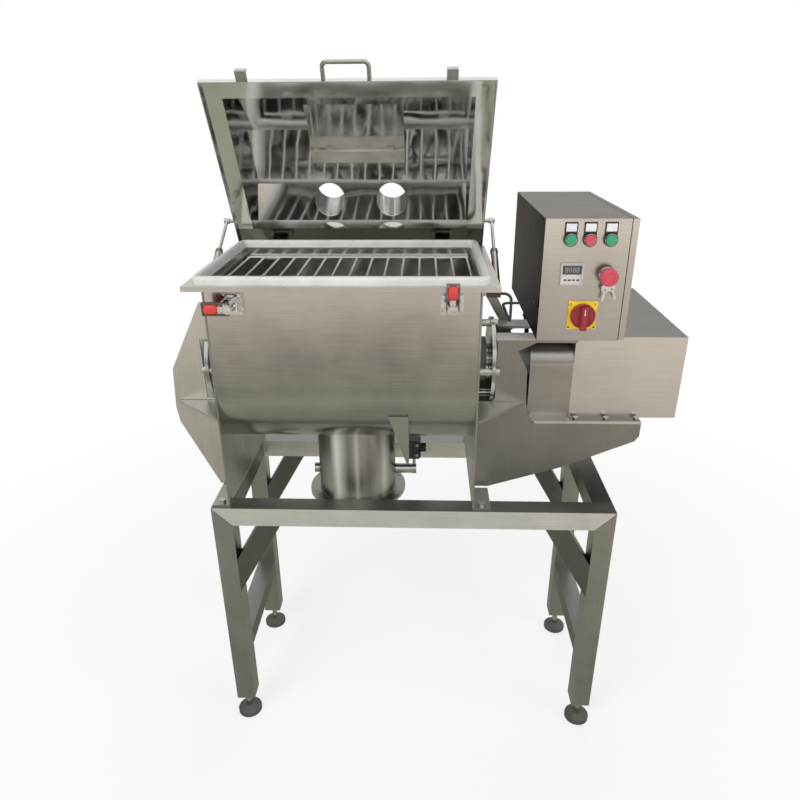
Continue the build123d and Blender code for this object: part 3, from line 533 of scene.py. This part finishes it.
FINISH = {
    "legs": LEG_STEEL, "long_beams": BEAM_STEEL, "frame_ties": STEEL_Y_PAINTED_SHADE,
    "foot_pads": PAD, "foot_stems": CHROME,
    "end_plates": END_STEEL, "rim": RIM_STEEL, "gasket": SILICONE, "safety_grate": BAR_STEEL,
    "left_side_plates": PLATE, "right_side_plates": PAINTED_ARM_PLATE,
    "bearing_plates": ROUND, "bearings": ALLOY, "bolts": CHROME,
    "agitator_shaft": RIBBON_STEEL, "agitator_arms": RIBBON_STEEL,
    "outer_ribbons": RIBBON_STEEL, "inner_ribbons": RIBBON_STEEL,
    "coupling": ALLOY, "drive_base": PLATE, "gear_motor": ALLOY,
    "motor_cover": COVER, "coupling_guard": GUARD_STEEL,
    "control_box": BOX_STEEL, "control_door": BOX_STEEL, "door_hinge_pins": CHROME,
    "button_holders": BLACK, "start_button": GREEN, "stop_button": RED, "jog_button": GREEN,
    "estop_base": ALLOY, "estop_button": RED, "key_ring": CHROME,
    "switch_plate": YELLOW, "switch_knob": DEEP_RED, "speed_meter": PALE,
    "panel_internals": BLACK, "sensor_and_leads": RUBBER,
    "spout": SPOUT_STEEL, "discharge_valve": ROUND, "lever_head": BLACK, "head_bolts": CHROME,
    "lid_ports": PORT_STEEL, "lid_fittings": ROUND, "lid_brackets": STEEL_X,
    "hatch_cover": MIRROR, "hatch_knob": BLACK,
    "gas_barrel_left": ROUND, "gas_barrel_right": ROUND,
    "gas_rod_left": CHROME, "gas_rod_right": CHROME,
    "clamp_bases": CHROME, "clamp_lever_left": CHROME, "clamp_lever_right": CHROME,
    "clamp_grip_left": RED_GRIP, "clamp_grip_right": RED_GRIP,
}
FINISH["lid_shell"] = lid_material()
FINISH["trough_shell"] = trough_material()
for node_name, node in NODES.items():
    node.data.materials.clear()
    node.data.materials.append(FINISH[node_name])


# Mesh helpers for the added pieces
def piece(name, mesh_maker, material, body):
    shape = bmesh.new()
    mesh_maker(shape)
    bmesh.ops.recalc_face_normals(shape, faces=shape.faces)
    mesh = bpy.data.meshes.new(name)
    shape.to_mesh(mesh)
    shape.free()
    mesh.materials.append(material)
    obj = bpy.data.objects.new(name, mesh)
    SCENE.collection.objects.link(obj)
    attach(obj, body)
    return obj


def add_block(shape, centre, size, bevel=0.0):
    made = bmesh.ops.create_cube(shape, size=1.0)
    verts = made["verts"]
    bmesh.ops.scale(shape, vec=size, verts=verts)
    bmesh.ops.translate(shape, vec=centre, verts=verts)
    if bevel:
        edges = list({e for v in verts for e in v.link_edges})
        bmesh.ops.bevel(shape, geom=edges, offset=bevel, segments=2, profile=0.6, affect="EDGES")


def turn_to(axis):
    return Vector((0, 0, 1)).rotation_difference(Vector(axis)).to_matrix()


def add_circle(shape, centre, turn, radius, along, steps):
    ring = []
    for i in range(steps):
        a = 2 * math.pi * i / steps
        spot = Vector((radius * math.cos(a), radius * math.sin(a), along))
        ring.append(shape.verts.new(centre + turn @ spot))
    return ring


def add_skin(shape, rings):
    """Joins rings of vertices in turn and closes both ends."""
    for first, second in zip(rings, rings[1:]):
        for k in range(len(first)):
            m = (k + 1) % len(first)
            shape.faces.new((first[k], first[m], second[m], second[k]))
    shape.faces.new(rings[0][::-1])
    shape.faces.new(rings[-1])


def add_turned(shape, centre, profile, towards, steps=40):
    """Turns a profile of (radius, distance along the axis) points about an axis through centre."""
    turn = turn_to(towards)
    rings = [add_circle(shape, Vector(centre), turn, radius, along, steps) for radius, along in profile]
    add_skin(shape, rings)


def add_ring(shape, centre, radius, thick, towards, steps=48, sides=12):
    turn = turn_to(towards)
    rings = []
    for i in range(steps):
        a = 2 * math.pi * i / steps
        out = Vector((math.cos(a), math.sin(a), 0.0))
        ring = []
        for k in range(sides):
            b = 2 * math.pi * k / sides
            spot = out * (radius + thick * math.cos(b)) + Vector((0, 0, thick * math.sin(b)))
            ring.append(shape.verts.new(Vector(centre) + turn @ spot))
        rings.append(ring)
    for i in range(steps):
        for k in range(sides):
            m = (k + 1) % sides
            n = (i + 1) % steps
            shape.faces.new((rings[i][k], rings[i][m], rings[n][m], rings[n][k]))


def mm(*values):
    return tuple(value * MM for value in values)


def profile_mm(*points):
    return [mm(*point) for point in points]


def in_front(at, y, right, out, up):
    """A place in front of the plane at y, by its mm to the right of, out from and above another place."""
    return (at.x + right * MM, y - out * MM, at.z + up * MM)


TO_FRONT = (0.0, -1.0, 0.0)
TO_LEFT = (-1.0, 0.0, 0.0)
TO_RIGHT = (1, 0, 0)
TO_FLOOR = (0.0, 0.0, -1.0)
TO_TOP = (0, 0, 1)
BUTTONS = ("start_button", "stop_button", "jog_button")

# Panel: blank label plates and bezels round the buttons
LABEL = plastic("label_white", (0.78, 0.78, 0.80), rough=(0.35, 0.45))
LABEL_SIZE = mm(23, 1.2, 17)
LABEL_OUT = 3.6
LABEL_UP = 26.5
HOLDER_Y = low("button_holders").y
BEZEL_R = 12.6 * MM
BEZEL_THICK = 1.1 * MM


def labels(shape):
    for name in BUTTONS:
        add_block(shape, in_front(middle(name), PANEL_Y, 0, LABEL_OUT, LABEL_UP), LABEL_SIZE, 0.4 * MM)


def bezels(shape):
    for name in BUTTONS:
        add_ring(shape, in_front(middle(name), HOLDER_Y, 0, 0.2, 0), BEZEL_R, BEZEL_THICK, TO_FRONT)


piece("label_plates", labels, LABEL, "machine")
piece("button_bezels", bezels, CHROME, "machine")

# Panel meter: frame, dark window, plain digits and keys
METER = middle("speed_meter")
METER_Y = low("speed_meter").y
WINDOW = plastic("meter_window", (0.03, 0.034, 0.04), rough=(0.12, 0.2), coat=0.6)
DIGIT = plastic("meter_digit", (0.42, 0.44, 0.47), rough=(0.4, 0.5))
WINDOW_SIZE = mm(42, 1.6, 20)
WINDOW_UP = 10
DIGIT_PITCH = 8.2
DIGIT_OUT = 1.5
BAR_SIZE = mm(4, 0.4, 0.9)
BAR_UPS = (-5, 0, 5)
POST_SIZE = mm(0.9, 0.4, 3.8)
POST_SIDES = (-2.4, 2.4)
POST_UPS = (-2.5, 2.5)
KEY_SIZE = mm(6, 1.2, 3.2)
KEY_PITCH = 9.5
KEY_UP = -13
METER_EDGE = 24
METER_POST = mm(2, 1.6, 50)
METER_BAR = mm(46, 1.6, 2)


def row_of_four(pitch):
    return [(i - 1.5) * pitch for i in range(4)]


def meter_window(shape):
    add_block(shape, in_front(METER, METER_Y, 0, 0.6, WINDOW_UP), WINDOW_SIZE, 0.5 * MM)


def meter_digits(shape):
    for right in row_of_four(DIGIT_PITCH):
        for up in BAR_UPS:
            add_block(shape, in_front(METER, METER_Y, right, DIGIT_OUT, WINDOW_UP + up), BAR_SIZE)
        for side in POST_SIDES:
            for up in POST_UPS:
                add_block(shape, in_front(METER, METER_Y, right + side, DIGIT_OUT, WINDOW_UP + up), POST_SIZE)


def meter_keys(shape):
    for right in row_of_four(KEY_PITCH):
        add_block(shape, in_front(METER, METER_Y, right, 0.5, KEY_UP), KEY_SIZE, 0.5 * MM)


def meter_frame(shape):
    for right in (-METER_EDGE, METER_EDGE):
        add_block(shape, in_front(METER, METER_Y, right, 0.8, 0), METER_POST, 0.3 * MM)
    for up in (METER_EDGE, -METER_EDGE):
        add_block(shape, in_front(METER, METER_Y, 0, 0.8, up), METER_BAR, 0.3 * MM)


piece("meter_window", meter_window, WINDOW, "machine")
piece("meter_digits", meter_digits, DIGIT, "machine")
piece("meter_keys", meter_keys, BLACK, "machine")
piece("meter_frame", meter_frame, CHROME, "machine")

# Main switch: 0 and I marks, two screws, raised rim and pointer line
SWITCH = pivot_of("switch_turn")
PLATE_FRONT = low("switch_plate").y
KNOB_FRONT = low("switch_knob").y
INK = plastic("black_ink", (0.02, 0.02, 0.02), rough=(0.5, 0.6))
LINE = plastic("pointer_white", (0.75, 0.74, 0.70), rough=(0.4, 0.5))
MARK_UP = 26
ZERO_RIGHT = -28.6
ZERO_R = 2.4 * MM
ZERO_THICK = 0.5 * MM
ONE_RIGHT = 28
ONE_SIZE = mm(1.1, 0.6, 6)
SCREW_OFF = 29
SCREW = profile_mm((2.2, 0.0), (2.0, 0.7), (1.2, 1.0))
RIM_OUT = 13.4
RIM_R = 26.4 * MM
RIM_THICK = 2.2 * MM
POINTER_SIZE = mm(9, 2.4, 50)
POINTER_UP = -3
LINE_SIZE = mm(2, 0.6, 14)
LINE_UP = 14


def switch_marks(shape):
    zero = in_front(SWITCH, PLATE_FRONT, ZERO_RIGHT, 0.1, MARK_UP)
    add_ring(shape, zero, ZERO_R, ZERO_THICK, TO_FRONT, 20, 6)
    add_block(shape, in_front(SWITCH, PLATE_FRONT, ONE_RIGHT, 0.2, MARK_UP), ONE_SIZE, 0.2 * MM)
    for right in (-SCREW_OFF, SCREW_OFF):
        add_turned(shape, in_front(SWITCH, PLATE_FRONT, right, -0.2, -SCREW_OFF), SCREW, TO_FRONT, 16)


def switch_rim(shape):
    add_ring(shape, in_front(SWITCH, PANEL_Y, 0, RIM_OUT, 0), RIM_R, RIM_THICK, TO_FRONT)
    add_block(shape, in_front(SWITCH, KNOB_FRONT, 0, 0.6, POINTER_UP), POINTER_SIZE, 1.0 * MM)


def switch_line(shape):
    add_block(shape, in_front(SWITCH, KNOB_FRONT, 0, 1.9, LINE_UP), LINE_SIZE, 0.2 * MM)


piece("switch_marks", switch_marks, INK, "machine")
piece("switch_rim", switch_rim, DEEP_RED, "main_switch")
piece("switch_line", switch_line, LINE, "main_switch")

# Emergency stop: raised ring on the cap and a ring at its base
ESTOP = middle("estop_button")
ESTOP_FRONT = low("estop_button").y
CAP_RING_R = 11.5 * MM
CAP_RING_THICK = 0.9 * MM
SEAT_R = 16.2 * MM
SEAT_THICK = 1.6 * MM


def estop_ring(shape):
    add_ring(shape, in_front(ESTOP, ESTOP_FRONT, 0, 0.1, 0), CAP_RING_R, CAP_RING_THICK, TO_FRONT)


def estop_seat(shape):
    add_ring(shape, in_front(ESTOP, PANEL_Y, 0, 1.2, 0), SEAT_R, SEAT_THICK, TO_FRONT)


piece("estop_ring", estop_ring, RED, "estop")
piece("estop_seat", estop_seat, CHROME, "machine")

# Door seal in the joint between box and door
SEAL_T = 1.5 * MM
SEAL_W = 2 * MM
SEAL_EDGE = 0.3 * MM


def door_seal(shape):
    x = BOX_HI.x + 0.9 * MM
    my = (BOX_LO.y + BOX_HI.y) / 2
    mz = (BOX_LO.z + BOX_HI.z) / 2
    for z in (BOX_LO.z + 3.2 * MM, BOX_HI.z - 1.2 * MM):
        add_block(shape, (x, my, z), (SEAL_T, BOX_HI.y - BOX_LO.y - 1 * MM, SEAL_W), SEAL_EDGE)
    for y in (BOX_LO.y + 0.8 * MM, BOX_HI.y - 1.2 * MM):
        add_block(shape, (x, y, mz), (SEAL_T, SEAL_W, BOX_HI.z - BOX_LO.z - 6 * MM), SEAL_EDGE)


# Glands where the leads enter the box and the motor cover
GLAND = profile_mm((9, 0.0), (9, 5), (7.2, 6), (7.2, 12), (5.2, 15), (3.4, 16))
BIG_GLAND = [(radius * 1.5, along) for radius, along in GLAND[:-1]] + profile_mm((6.3, 16))
GLAND_SINK = 0.2 * MM
SENSOR_LEAD_Y = AXIS.y - 60 * MM
SENSOR_LEAD_Z = high("rim").z - 80 * MM
DRIVE_LEAD_X = BOX_LO.x + 10 * MM
DRIVE_LEAD_Y = AXIS.y + 130 * MM
DRIVE_LEAD_Z = AXIS.z - 24 * MM
COVER_X = low("motor_cover").x


def glands(shape):
    add_turned(shape, (BOX_LO.x + GLAND_SINK, SENSOR_LEAD_Y, SENSOR_LEAD_Z), GLAND, TO_LEFT, 24)
    add_turned(shape, (DRIVE_LEAD_X, DRIVE_LEAD_Y, BOX_LO.z + GLAND_SINK), BIG_GLAND, TO_FLOOR, 24)
    add_turned(shape, (COVER_X + GLAND_SINK, DRIVE_LEAD_Y, DRIVE_LEAD_Z), BIG_GLAND, TO_LEFT, 24)


piece("door_seal", door_seal, RUBBER, "machine")
piece("lead_glands", glands, BLACK, "machine")

# Weld beads: a ripple of overlapping drops along each joint
BEAD = brushed_steel("weld_bead", "X", tone=0.9, rough=(0.3, 0.45), cloud=0.3, grain_depth=0.2)
BEAD_R = 1.6 * MM
BEAD_STEP = 0.8
BEAD_TIP = 0.3
END_T = 4 * MM
END_FOOT_Z = low("end_plates").z + END_T
WALL_TOP_Z = SHELL_HI.z - 8 * MM
SIDE_PLATE_Y = 84 * MM
SIDE_PLATE_TOP_Z = high("left_side_plates").z
BEARING_GAP = 78 * MM
ARM_GAP = 86 * MM
GUSSET_Z = AXIS.z - 83 * MM
GUSSET_LEFT = 128 * MM
GUSSET_RIGHT = 118 * MM
SPOUT_BEAD_Z = low("spout").z + 8.4 * MM
SPOUT_BEAD_R = 103.6 * MM


def add_bead(shape, start, end):
    start = Vector(start)
    run = Vector(end) - start
    turn = turn_to(run)
    count = max(4, int(run.length / (BEAD_R * BEAD_STEP)))
    rings = []
    for i in range(count + 1):
        radius = BEAD_R * (0.82 + 0.18 * math.cos(math.pi * i))
        if i in (0, count):
            radius = BEAD_R * BEAD_TIP
        rings.append(add_circle(shape, start + run * (i / count), turn, radius, 0, 8))
    add_skin(shape, rings)


def beads(shape):
    for x in (SHELL_LO.x, SHELL_HI.x):
        for y in (SHELL_LO.y, SHELL_HI.y):
            add_bead(shape, (x, y, AXIS.z), (x, y, WALL_TOP_Z))
    left = SHELL_LO.x - END_T
    right = SHELL_HI.x + END_T
    for side in (-1, 1):
        y = AXIS.y + side * SIDE_PLATE_Y
        add_bead(shape, (left, y, END_FOOT_Z), (left, y, AXIS.z - BEARING_GAP))
        add_bead(shape, (left, y, AXIS.z + BEARING_GAP), (left, y, SIDE_PLATE_TOP_Z))
        add_bead(shape, (right, y, END_FOOT_Z), (right, y, AXIS.z - ARM_GAP))
        add_bead(shape, (left - GUSSET_LEFT, y, GUSSET_Z), (left - END_T, y, GUSSET_Z))
        add_bead(shape, (right + END_T, y, GUSSET_Z), (right + GUSSET_RIGHT, y, GUSSET_Z))
    add_ring(shape, (SPOUT.x, SPOUT.y, SPOUT_BEAD_Z), SPOUT_BEAD_R, BEAD_R, TO_TOP, 72, 8)


piece("weld_beads", beads, BEAD, "machine")

# Lever head: pull ring on its end
HEAD_END = high("lever_head").x
HEAD = middle("lever_head")
RING_STUD = profile_mm((3, 0.0), (3, 3), (1.6, 4))
PULL_RING_R = 8 * MM
PULL_RING_THICK = 1.1 * MM


def pull_ring(shape):
    add_turned(shape, (HEAD_END - 0.5 * MM, HEAD.y, HEAD.z), RING_STUD, TO_RIGHT, 16)
    ring_at = (HEAD_END + 3 * MM, HEAD.y, HEAD.z - 7 * MM)
    add_ring(shape, ring_at, PULL_RING_R, PULL_RING_THICK, TO_FRONT, 32, 8)


piece("pull_ring", pull_ring, CHROME, "valve")

# Toggle clamps: rounded ribbed grips, and a dark strap frame round each grip
GRIP_END_POWER = 0.6
GRIP_SIDE_POWER = 0.7
GRIP_RIBS = 6.0
GRIP_RIB_DEPTH = 0.035
STRAP_SIDES = (-13.0, 13.0)
STRAP_ARM = mm(2.4, 11, 55)
STRAP_ARM_UP = 24.5
STRAP_BAR = mm(28.4, 11, 2.4)
STRAP_BAR_UP = 53.6
STRAP_EDGE = 0.6 * MM


def signed_power(value, power):
    return math.copysign(abs(value) ** power, value)


def add_grip(shape, centre, half, long_axis, steps=48, rows=36):
    order = {0: (1, 2, 0), 2: (0, 1, 2)}[long_axis]
    rings = []
    for i in range(1, rows):
        a = math.pi * i / rows - math.pi / 2
        along = signed_power(math.sin(a), GRIP_END_POWER)
        rib = GRIP_RIB_DEPTH * (1.0 + math.cos(GRIP_RIBS * math.pi * along)) / 2
        wide = abs(math.cos(a)) ** GRIP_END_POWER * (1.0 - rib)
        ring = []
        for k in range(steps):
            b = 2 * math.pi * k / steps
            u = signed_power(math.cos(b), GRIP_SIDE_POWER)
            v = signed_power(math.sin(b), GRIP_SIDE_POWER)
            spot = [0.0, 0.0, 0.0]
            for axis, value in zip(order, (u * wide, v * wide, along)):
                spot[axis] = centre[axis] + half[axis] * value
            ring.append(shape.verts.new(spot))
        rings.append(ring)
    add_skin(shape, rings)


def add_strap(shape, at, tilt):
    for x in STRAP_SIDES:
        add_block(shape, mm(x, 0, STRAP_ARM_UP), STRAP_ARM, STRAP_EDGE)
    add_block(shape, mm(0, 0, STRAP_BAR_UP), STRAP_BAR, STRAP_EDGE)
    for vert in shape.verts:
        vert.co = at + tilt @ vert.co


for side, turn, long_axis in (("left", math.pi / 2, 0), ("right", 0.0, 2)):
    node = "clamp_grip_" + side
    grip_half = (high(node) - low(node)) / 2
    pin = pivot_of("clamp_" + side + "_swing")
    strap_at = Vector((pin.x, middle(node).y, pin.z))
    tilt = Matrix.Rotation(-turn, 3, "Y")

    def grip(shape, at=middle(node), half=grip_half, axis=long_axis):
        add_grip(shape, at, half, axis)

    def strap(shape, at=strap_at, tilt=tilt):
        add_strap(shape, at, tilt)

    rounded = piece(node + "_round", grip, RED_GRIP, "clamp_" + side[0])
    for face in rounded.data.polygons:
        face.use_smooth = True
    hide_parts(node)
    piece("clamp_strap_" + side, strap, DARK_STEEL, "clamp_" + side[0])

# Gas springs: rings and stud heads on the rod eyes, collars on the barrels
EYE_R = 8 * MM
EYE_RING_SIDES = mm(-6, 6)
EYE_RING_R = 6.8 * MM
EYE_RING_THICK = 0.9 * MM
STUD_OUT = 5.8
STUD_HEAD = profile_mm((4.6, 0.0), (4.6, 1.6), (3.6, 2.8), (1.6, 3.4))
TOP_COLLAR_UP = 129
TOP_COLLAR = profile_mm((9.2, 0.0), (9.9, 1.5), (9.9, 10), (9.2, 12.6))
FOOT_COLLAR_UP = 13
FOOT_COLLAR = profile_mm((9.2, 0.0), (9.8, 1.5), (9.8, 7), (9.2, 9))

for side, out in (("left", -1.0), ("right", 1.0)):
    foot = pivot_of("gas_" + side + "_swing")
    line = Vector(joint("gas_" + side + "_slide")["axis"])
    rod_lo = low("gas_rod_" + side)
    rod_hi = high("gas_rod_" + side)
    eye = Vector(((rod_lo.x + rod_hi.x) / 2, rod_hi.y - EYE_R, rod_hi.z - EYE_R))

    def eye_rings(shape, at=eye, way=out):
        for x in EYE_RING_SIDES:
            add_ring(shape, at + Vector((x, 0, 0)), EYE_RING_R, EYE_RING_THICK, TO_RIGHT, 32, 8)
        add_turned(shape, at + Vector((way * STUD_OUT * MM, 0, 0)), STUD_HEAD, (way, 0, 0), 24)

    def collar(shape, at=foot, way=line):
        add_turned(shape, at + way * TOP_COLLAR_UP * MM, TOP_COLLAR, way, 24)
        add_turned(shape, at + way * FOOT_COLLAR_UP * MM, FOOT_COLLAR, way, 24)

    piece("gas_eye_" + side, eye_rings, CHROME, "gas_rod_" + side[0])
    piece("gas_collar_" + side, collar, DARK_STEEL, "gas_barrel_" + side[0])

# Hatch: pale seal strip under the cover, above the chimney's edge, in mm from the hinge along the closed lid
LID_TURN = Matrix.Rotation(-LID_OPEN, 3, "X")
CHIMNEY_HALF = 123.0
CHIMNEY_FRONT = -381.0
CHIMNEY_REAR = -204.0
CHIMNEY_TOP = 183.8
HATCH_SEAL_W = 4
HATCH_SEAL_H = 9.0
HATCH_SEAL_UP = 5.4
SEAL_ORIGIN = Vector((middle("hatch_cover").x, HINGE.y, HINGE.z))


def hatch_seal(shape):
    mid_y = (CHIMNEY_FRONT + CHIMNEY_REAR) / 2
    mid_z = CHIMNEY_TOP + HATCH_SEAL_UP
    across = (2 * CHIMNEY_HALF, HATCH_SEAL_W, HATCH_SEAL_H)
    along = (HATCH_SEAL_W, CHIMNEY_REAR - CHIMNEY_FRONT, HATCH_SEAL_H)
    strips = [((0, CHIMNEY_FRONT + 1, mid_z), across), ((0, CHIMNEY_REAR - 1, mid_z), across)]
    for side in (-1, 1):
        strips.append(((side * (CHIMNEY_HALF - 1), mid_y, mid_z), along))
    for centre, size in strips:
        add_block(shape, Vector(centre) * MM, Vector(size) * MM, 0.8 * MM)
    for vert in shape.verts:
        vert.co = SEAL_ORIGIN + LID_TURN @ vert.co


piece("hatch_seal", hatch_seal, SILICONE, "hatch")

# What the bare steel mirrors: a dim floor close by that pales with distance, sooner on the right
FLOOR_IN_STEEL = [(0.0, (0.25, 0.262, 0.214)), (0.10, (0.29, 0.30, 0.245)), (0.17, (0.40, 0.395, 0.33)),
                  (0.25, (0.31, 0.315, 0.258)), (0.40, (0.29, 0.285, 0.235)), (0.47, (0.36, 0.335, 0.29)),
                  (0.58, (0.85, 0.765, 0.70)), (0.72, (1.0, 0.90, 0.83))]
FLOOR_AT_RIGHT = [(0.0, (0.26, 0.27, 0.22)), (0.15, (0.38, 0.375, 0.31)), (0.24, (0.50, 0.47, 0.40)),
                  (0.38, (0.74, 0.66, 0.58)), (0.56, (1.0, 0.89, 0.80)), (0.7, (1.0, 0.89, 0.80))]
MIRRORED_REACH = 8.0
RIGHT_FROM = 0.3
RIGHT_TO = 1.3

# Floor: pale paint that takes the shadow, and whiter to the camera further out
FLOOR_COLOUR = (0.86, 0.86, 0.86, 1.0)
FLOOR_ROUGH = 0.9
FLOOR_HALF = 14.0
SHADOW_FROM = 0.6
SHADOW_TO = 2.2
NEAR_WHITE = 0.72


def floor_material():
    mat, tree, shader = new_material("floor_paint")
    shader.inputs["Base Color"].default_value = FLOOR_COLOUR
    shader.inputs["Roughness"].default_value = FLOOR_ROUGH
    x = axis_value(tree, "X")
    reach = maths(tree, "SQRT", sum_of_squares(tree, x, axis_value(tree, "Y")))
    path = add(tree, "ShaderNodeLightPath")
    glossy = path.outputs["Is Glossy Ray"]
    far = spread(tree, reach, 0.0, MIRRORED_REACH)
    to_right = spread(tree, x, RIGHT_FROM, RIGHT_TO)
    at_left = ramp(tree, far, FLOOR_IN_STEEL)
    at_right = ramp(tree, far, FLOOR_AT_RIGHT)
    dim = blend_colour(tree, "MIX", to_right, at_left, at_right)
    glow = add(tree, "ShaderNodeEmission")
    tree.links.new(blend_colour(tree, "MIX", glossy, (*WHITE, 1.0), dim), glow.inputs["Color"])
    seen = maths(tree, "MAXIMUM", path.outputs["Is Camera Ray"], path.outputs["Is Transmission Ray"])
    share = maths(tree, "MULTIPLY", seen, spread(tree, reach, SHADOW_FROM, SHADOW_TO, NEAR_WHITE, 1.0))
    share = maths(tree, "MAXIMUM", share, glossy)
    mix = add(tree, "ShaderNodeMixShader")
    tree.links.new(share, mix.inputs[0])
    tree.links.new(shader.outputs[0], mix.inputs[1])
    tree.links.new(glow.outputs[0], mix.inputs[2])
    tree.links.new(mix.outputs[0], tree.nodes["Material Output"].inputs["Surface"])
    return mat


floor_mesh = bpy.data.meshes.new("floor")
corners = [(-FLOOR_HALF, -FLOOR_HALF, 0), (FLOOR_HALF, -FLOOR_HALF, 0),
           (FLOOR_HALF, FLOOR_HALF, 0), (-FLOOR_HALF, FLOOR_HALF, 0)]
floor_mesh.from_pydata(corners, [], [(0, 1, 2, 3)])
floor = bpy.data.objects.new("floor", floor_mesh)
SCENE.collection.objects.link(floor)
floor_mesh.materials.append(floor_material())

# World: white to the camera, graded by height as light, and graded otherwise in the steel, dark at the left
SKY = [(0.0, WHITE), (0.16, WHITE), (0.55, (0.36, 0.36, 0.355)), (1.0, (0.26, 0.26, 0.26))]
SKY_IN_STEEL = [(0.0, (0.36, 0.35, 0.31)), (0.12, (0.42, 0.41, 0.37)), (0.30, (0.85, 0.84, 0.81)),
                (0.5, WHITE)]
LEFT_SHADE = [(0.08, (0.22, 0.22, 0.2)), (0.3, WHITE)]

world = bpy.data.worlds.new("studio")
SCENE.world = world
world.use_nodes = True
sky_tree = world.node_tree
background = sky_tree.nodes["Background"]
sky = add(sky_tree, "ShaderNodeSeparateXYZ")
sky_tree.links.new(add(sky_tree, "ShaderNodeTexCoord").outputs["Generated"], sky.inputs["Vector"])
plain = ramp(sky_tree, sky.outputs["Z"], SKY)
mirrored = ramp(sky_tree, sky.outputs["Z"], SKY_IN_STEEL)
left_shade = ramp(sky_tree, spread(sky_tree, sky.outputs["X"], -1.0, 1.0), LEFT_SHADE)
mirrored = blend_colour(sky_tree, "MULTIPLY", 1.0, mirrored, left_shade)
ray = add(sky_tree, "ShaderNodeLightPath")
lit = blend_colour(sky_tree, "MIX", ray.outputs["Is Glossy Ray"], plain, mirrored)
seen = blend_colour(sky_tree, "MIX", ray.outputs["Is Camera Ray"], lit, (*WHITE, 1.0))
sky_tree.links.new(seen, background.inputs["Color"])
background.inputs["Strength"].default_value = 1.0

# Lamps: soft squares that the steel doesn't mirror
AIM = Vector((0.0, 0.0, 0.95))


def lamp(name, place, size, power):
    data = bpy.data.lights.new(name, "AREA")
    data.shape = "SQUARE"
    data.size = size
    data.energy = power
    obj = bpy.data.objects.new(name, data)
    SCENE.collection.objects.link(obj)
    obj.location = place
    obj.rotation_euler = (AIM - Vector(place)).to_track_quat("-Z", "Y").to_euler()
    obj.visible_glossy = False


lamp("key", (-1.7, -2.4, 3.0), size=1.8, power=70.0)
lamp("fill", (2.6, -1.6, 2.0), size=1.6, power=30.0)
lamp("rear", (0.4, 2.4, 2.8), size=1.6, power=30.0)

# Camera at the photograph's viewing angle
CAM_AT = Vector((-0.0068, -1.6769, 1.6252))
CAM_YAW = math.radians(-2.105)
CAM_PITCH = math.radians(23.98)
CAM_ROLL = math.radians(-0.427)
CAM_LENS = 29.994
CAM_SENSOR = 36.0
ahead = Vector((math.sin(CAM_YAW) * math.cos(CAM_PITCH), math.cos(CAM_YAW) * math.cos(CAM_PITCH),
                -math.sin(CAM_PITCH)))
level = Vector((math.cos(CAM_YAW), -math.sin(CAM_YAW), 0.0))
upward = level.cross(ahead)
right = math.cos(CAM_ROLL) * level + math.sin(CAM_ROLL) * upward
above = -math.sin(CAM_ROLL) * level + math.cos(CAM_ROLL) * upward
camera_data = bpy.data.cameras.new("camera")
camera_data.sensor_width = CAM_SENSOR
camera_data.lens = CAM_LENS
camera = bpy.data.objects.new("camera", camera_data)
SCENE.collection.objects.link(camera)
camera.matrix_world = Matrix(((right.x, above.x, -ahead.x, CAM_AT.x),
                              (right.y, above.y, -ahead.y, CAM_AT.y),
                              (right.z, above.z, -ahead.z, CAM_AT.z),
                              (0, 0, 0, 1)))
SCENE.camera = camera
SCENE.view_settings.view_transform = "Standard"
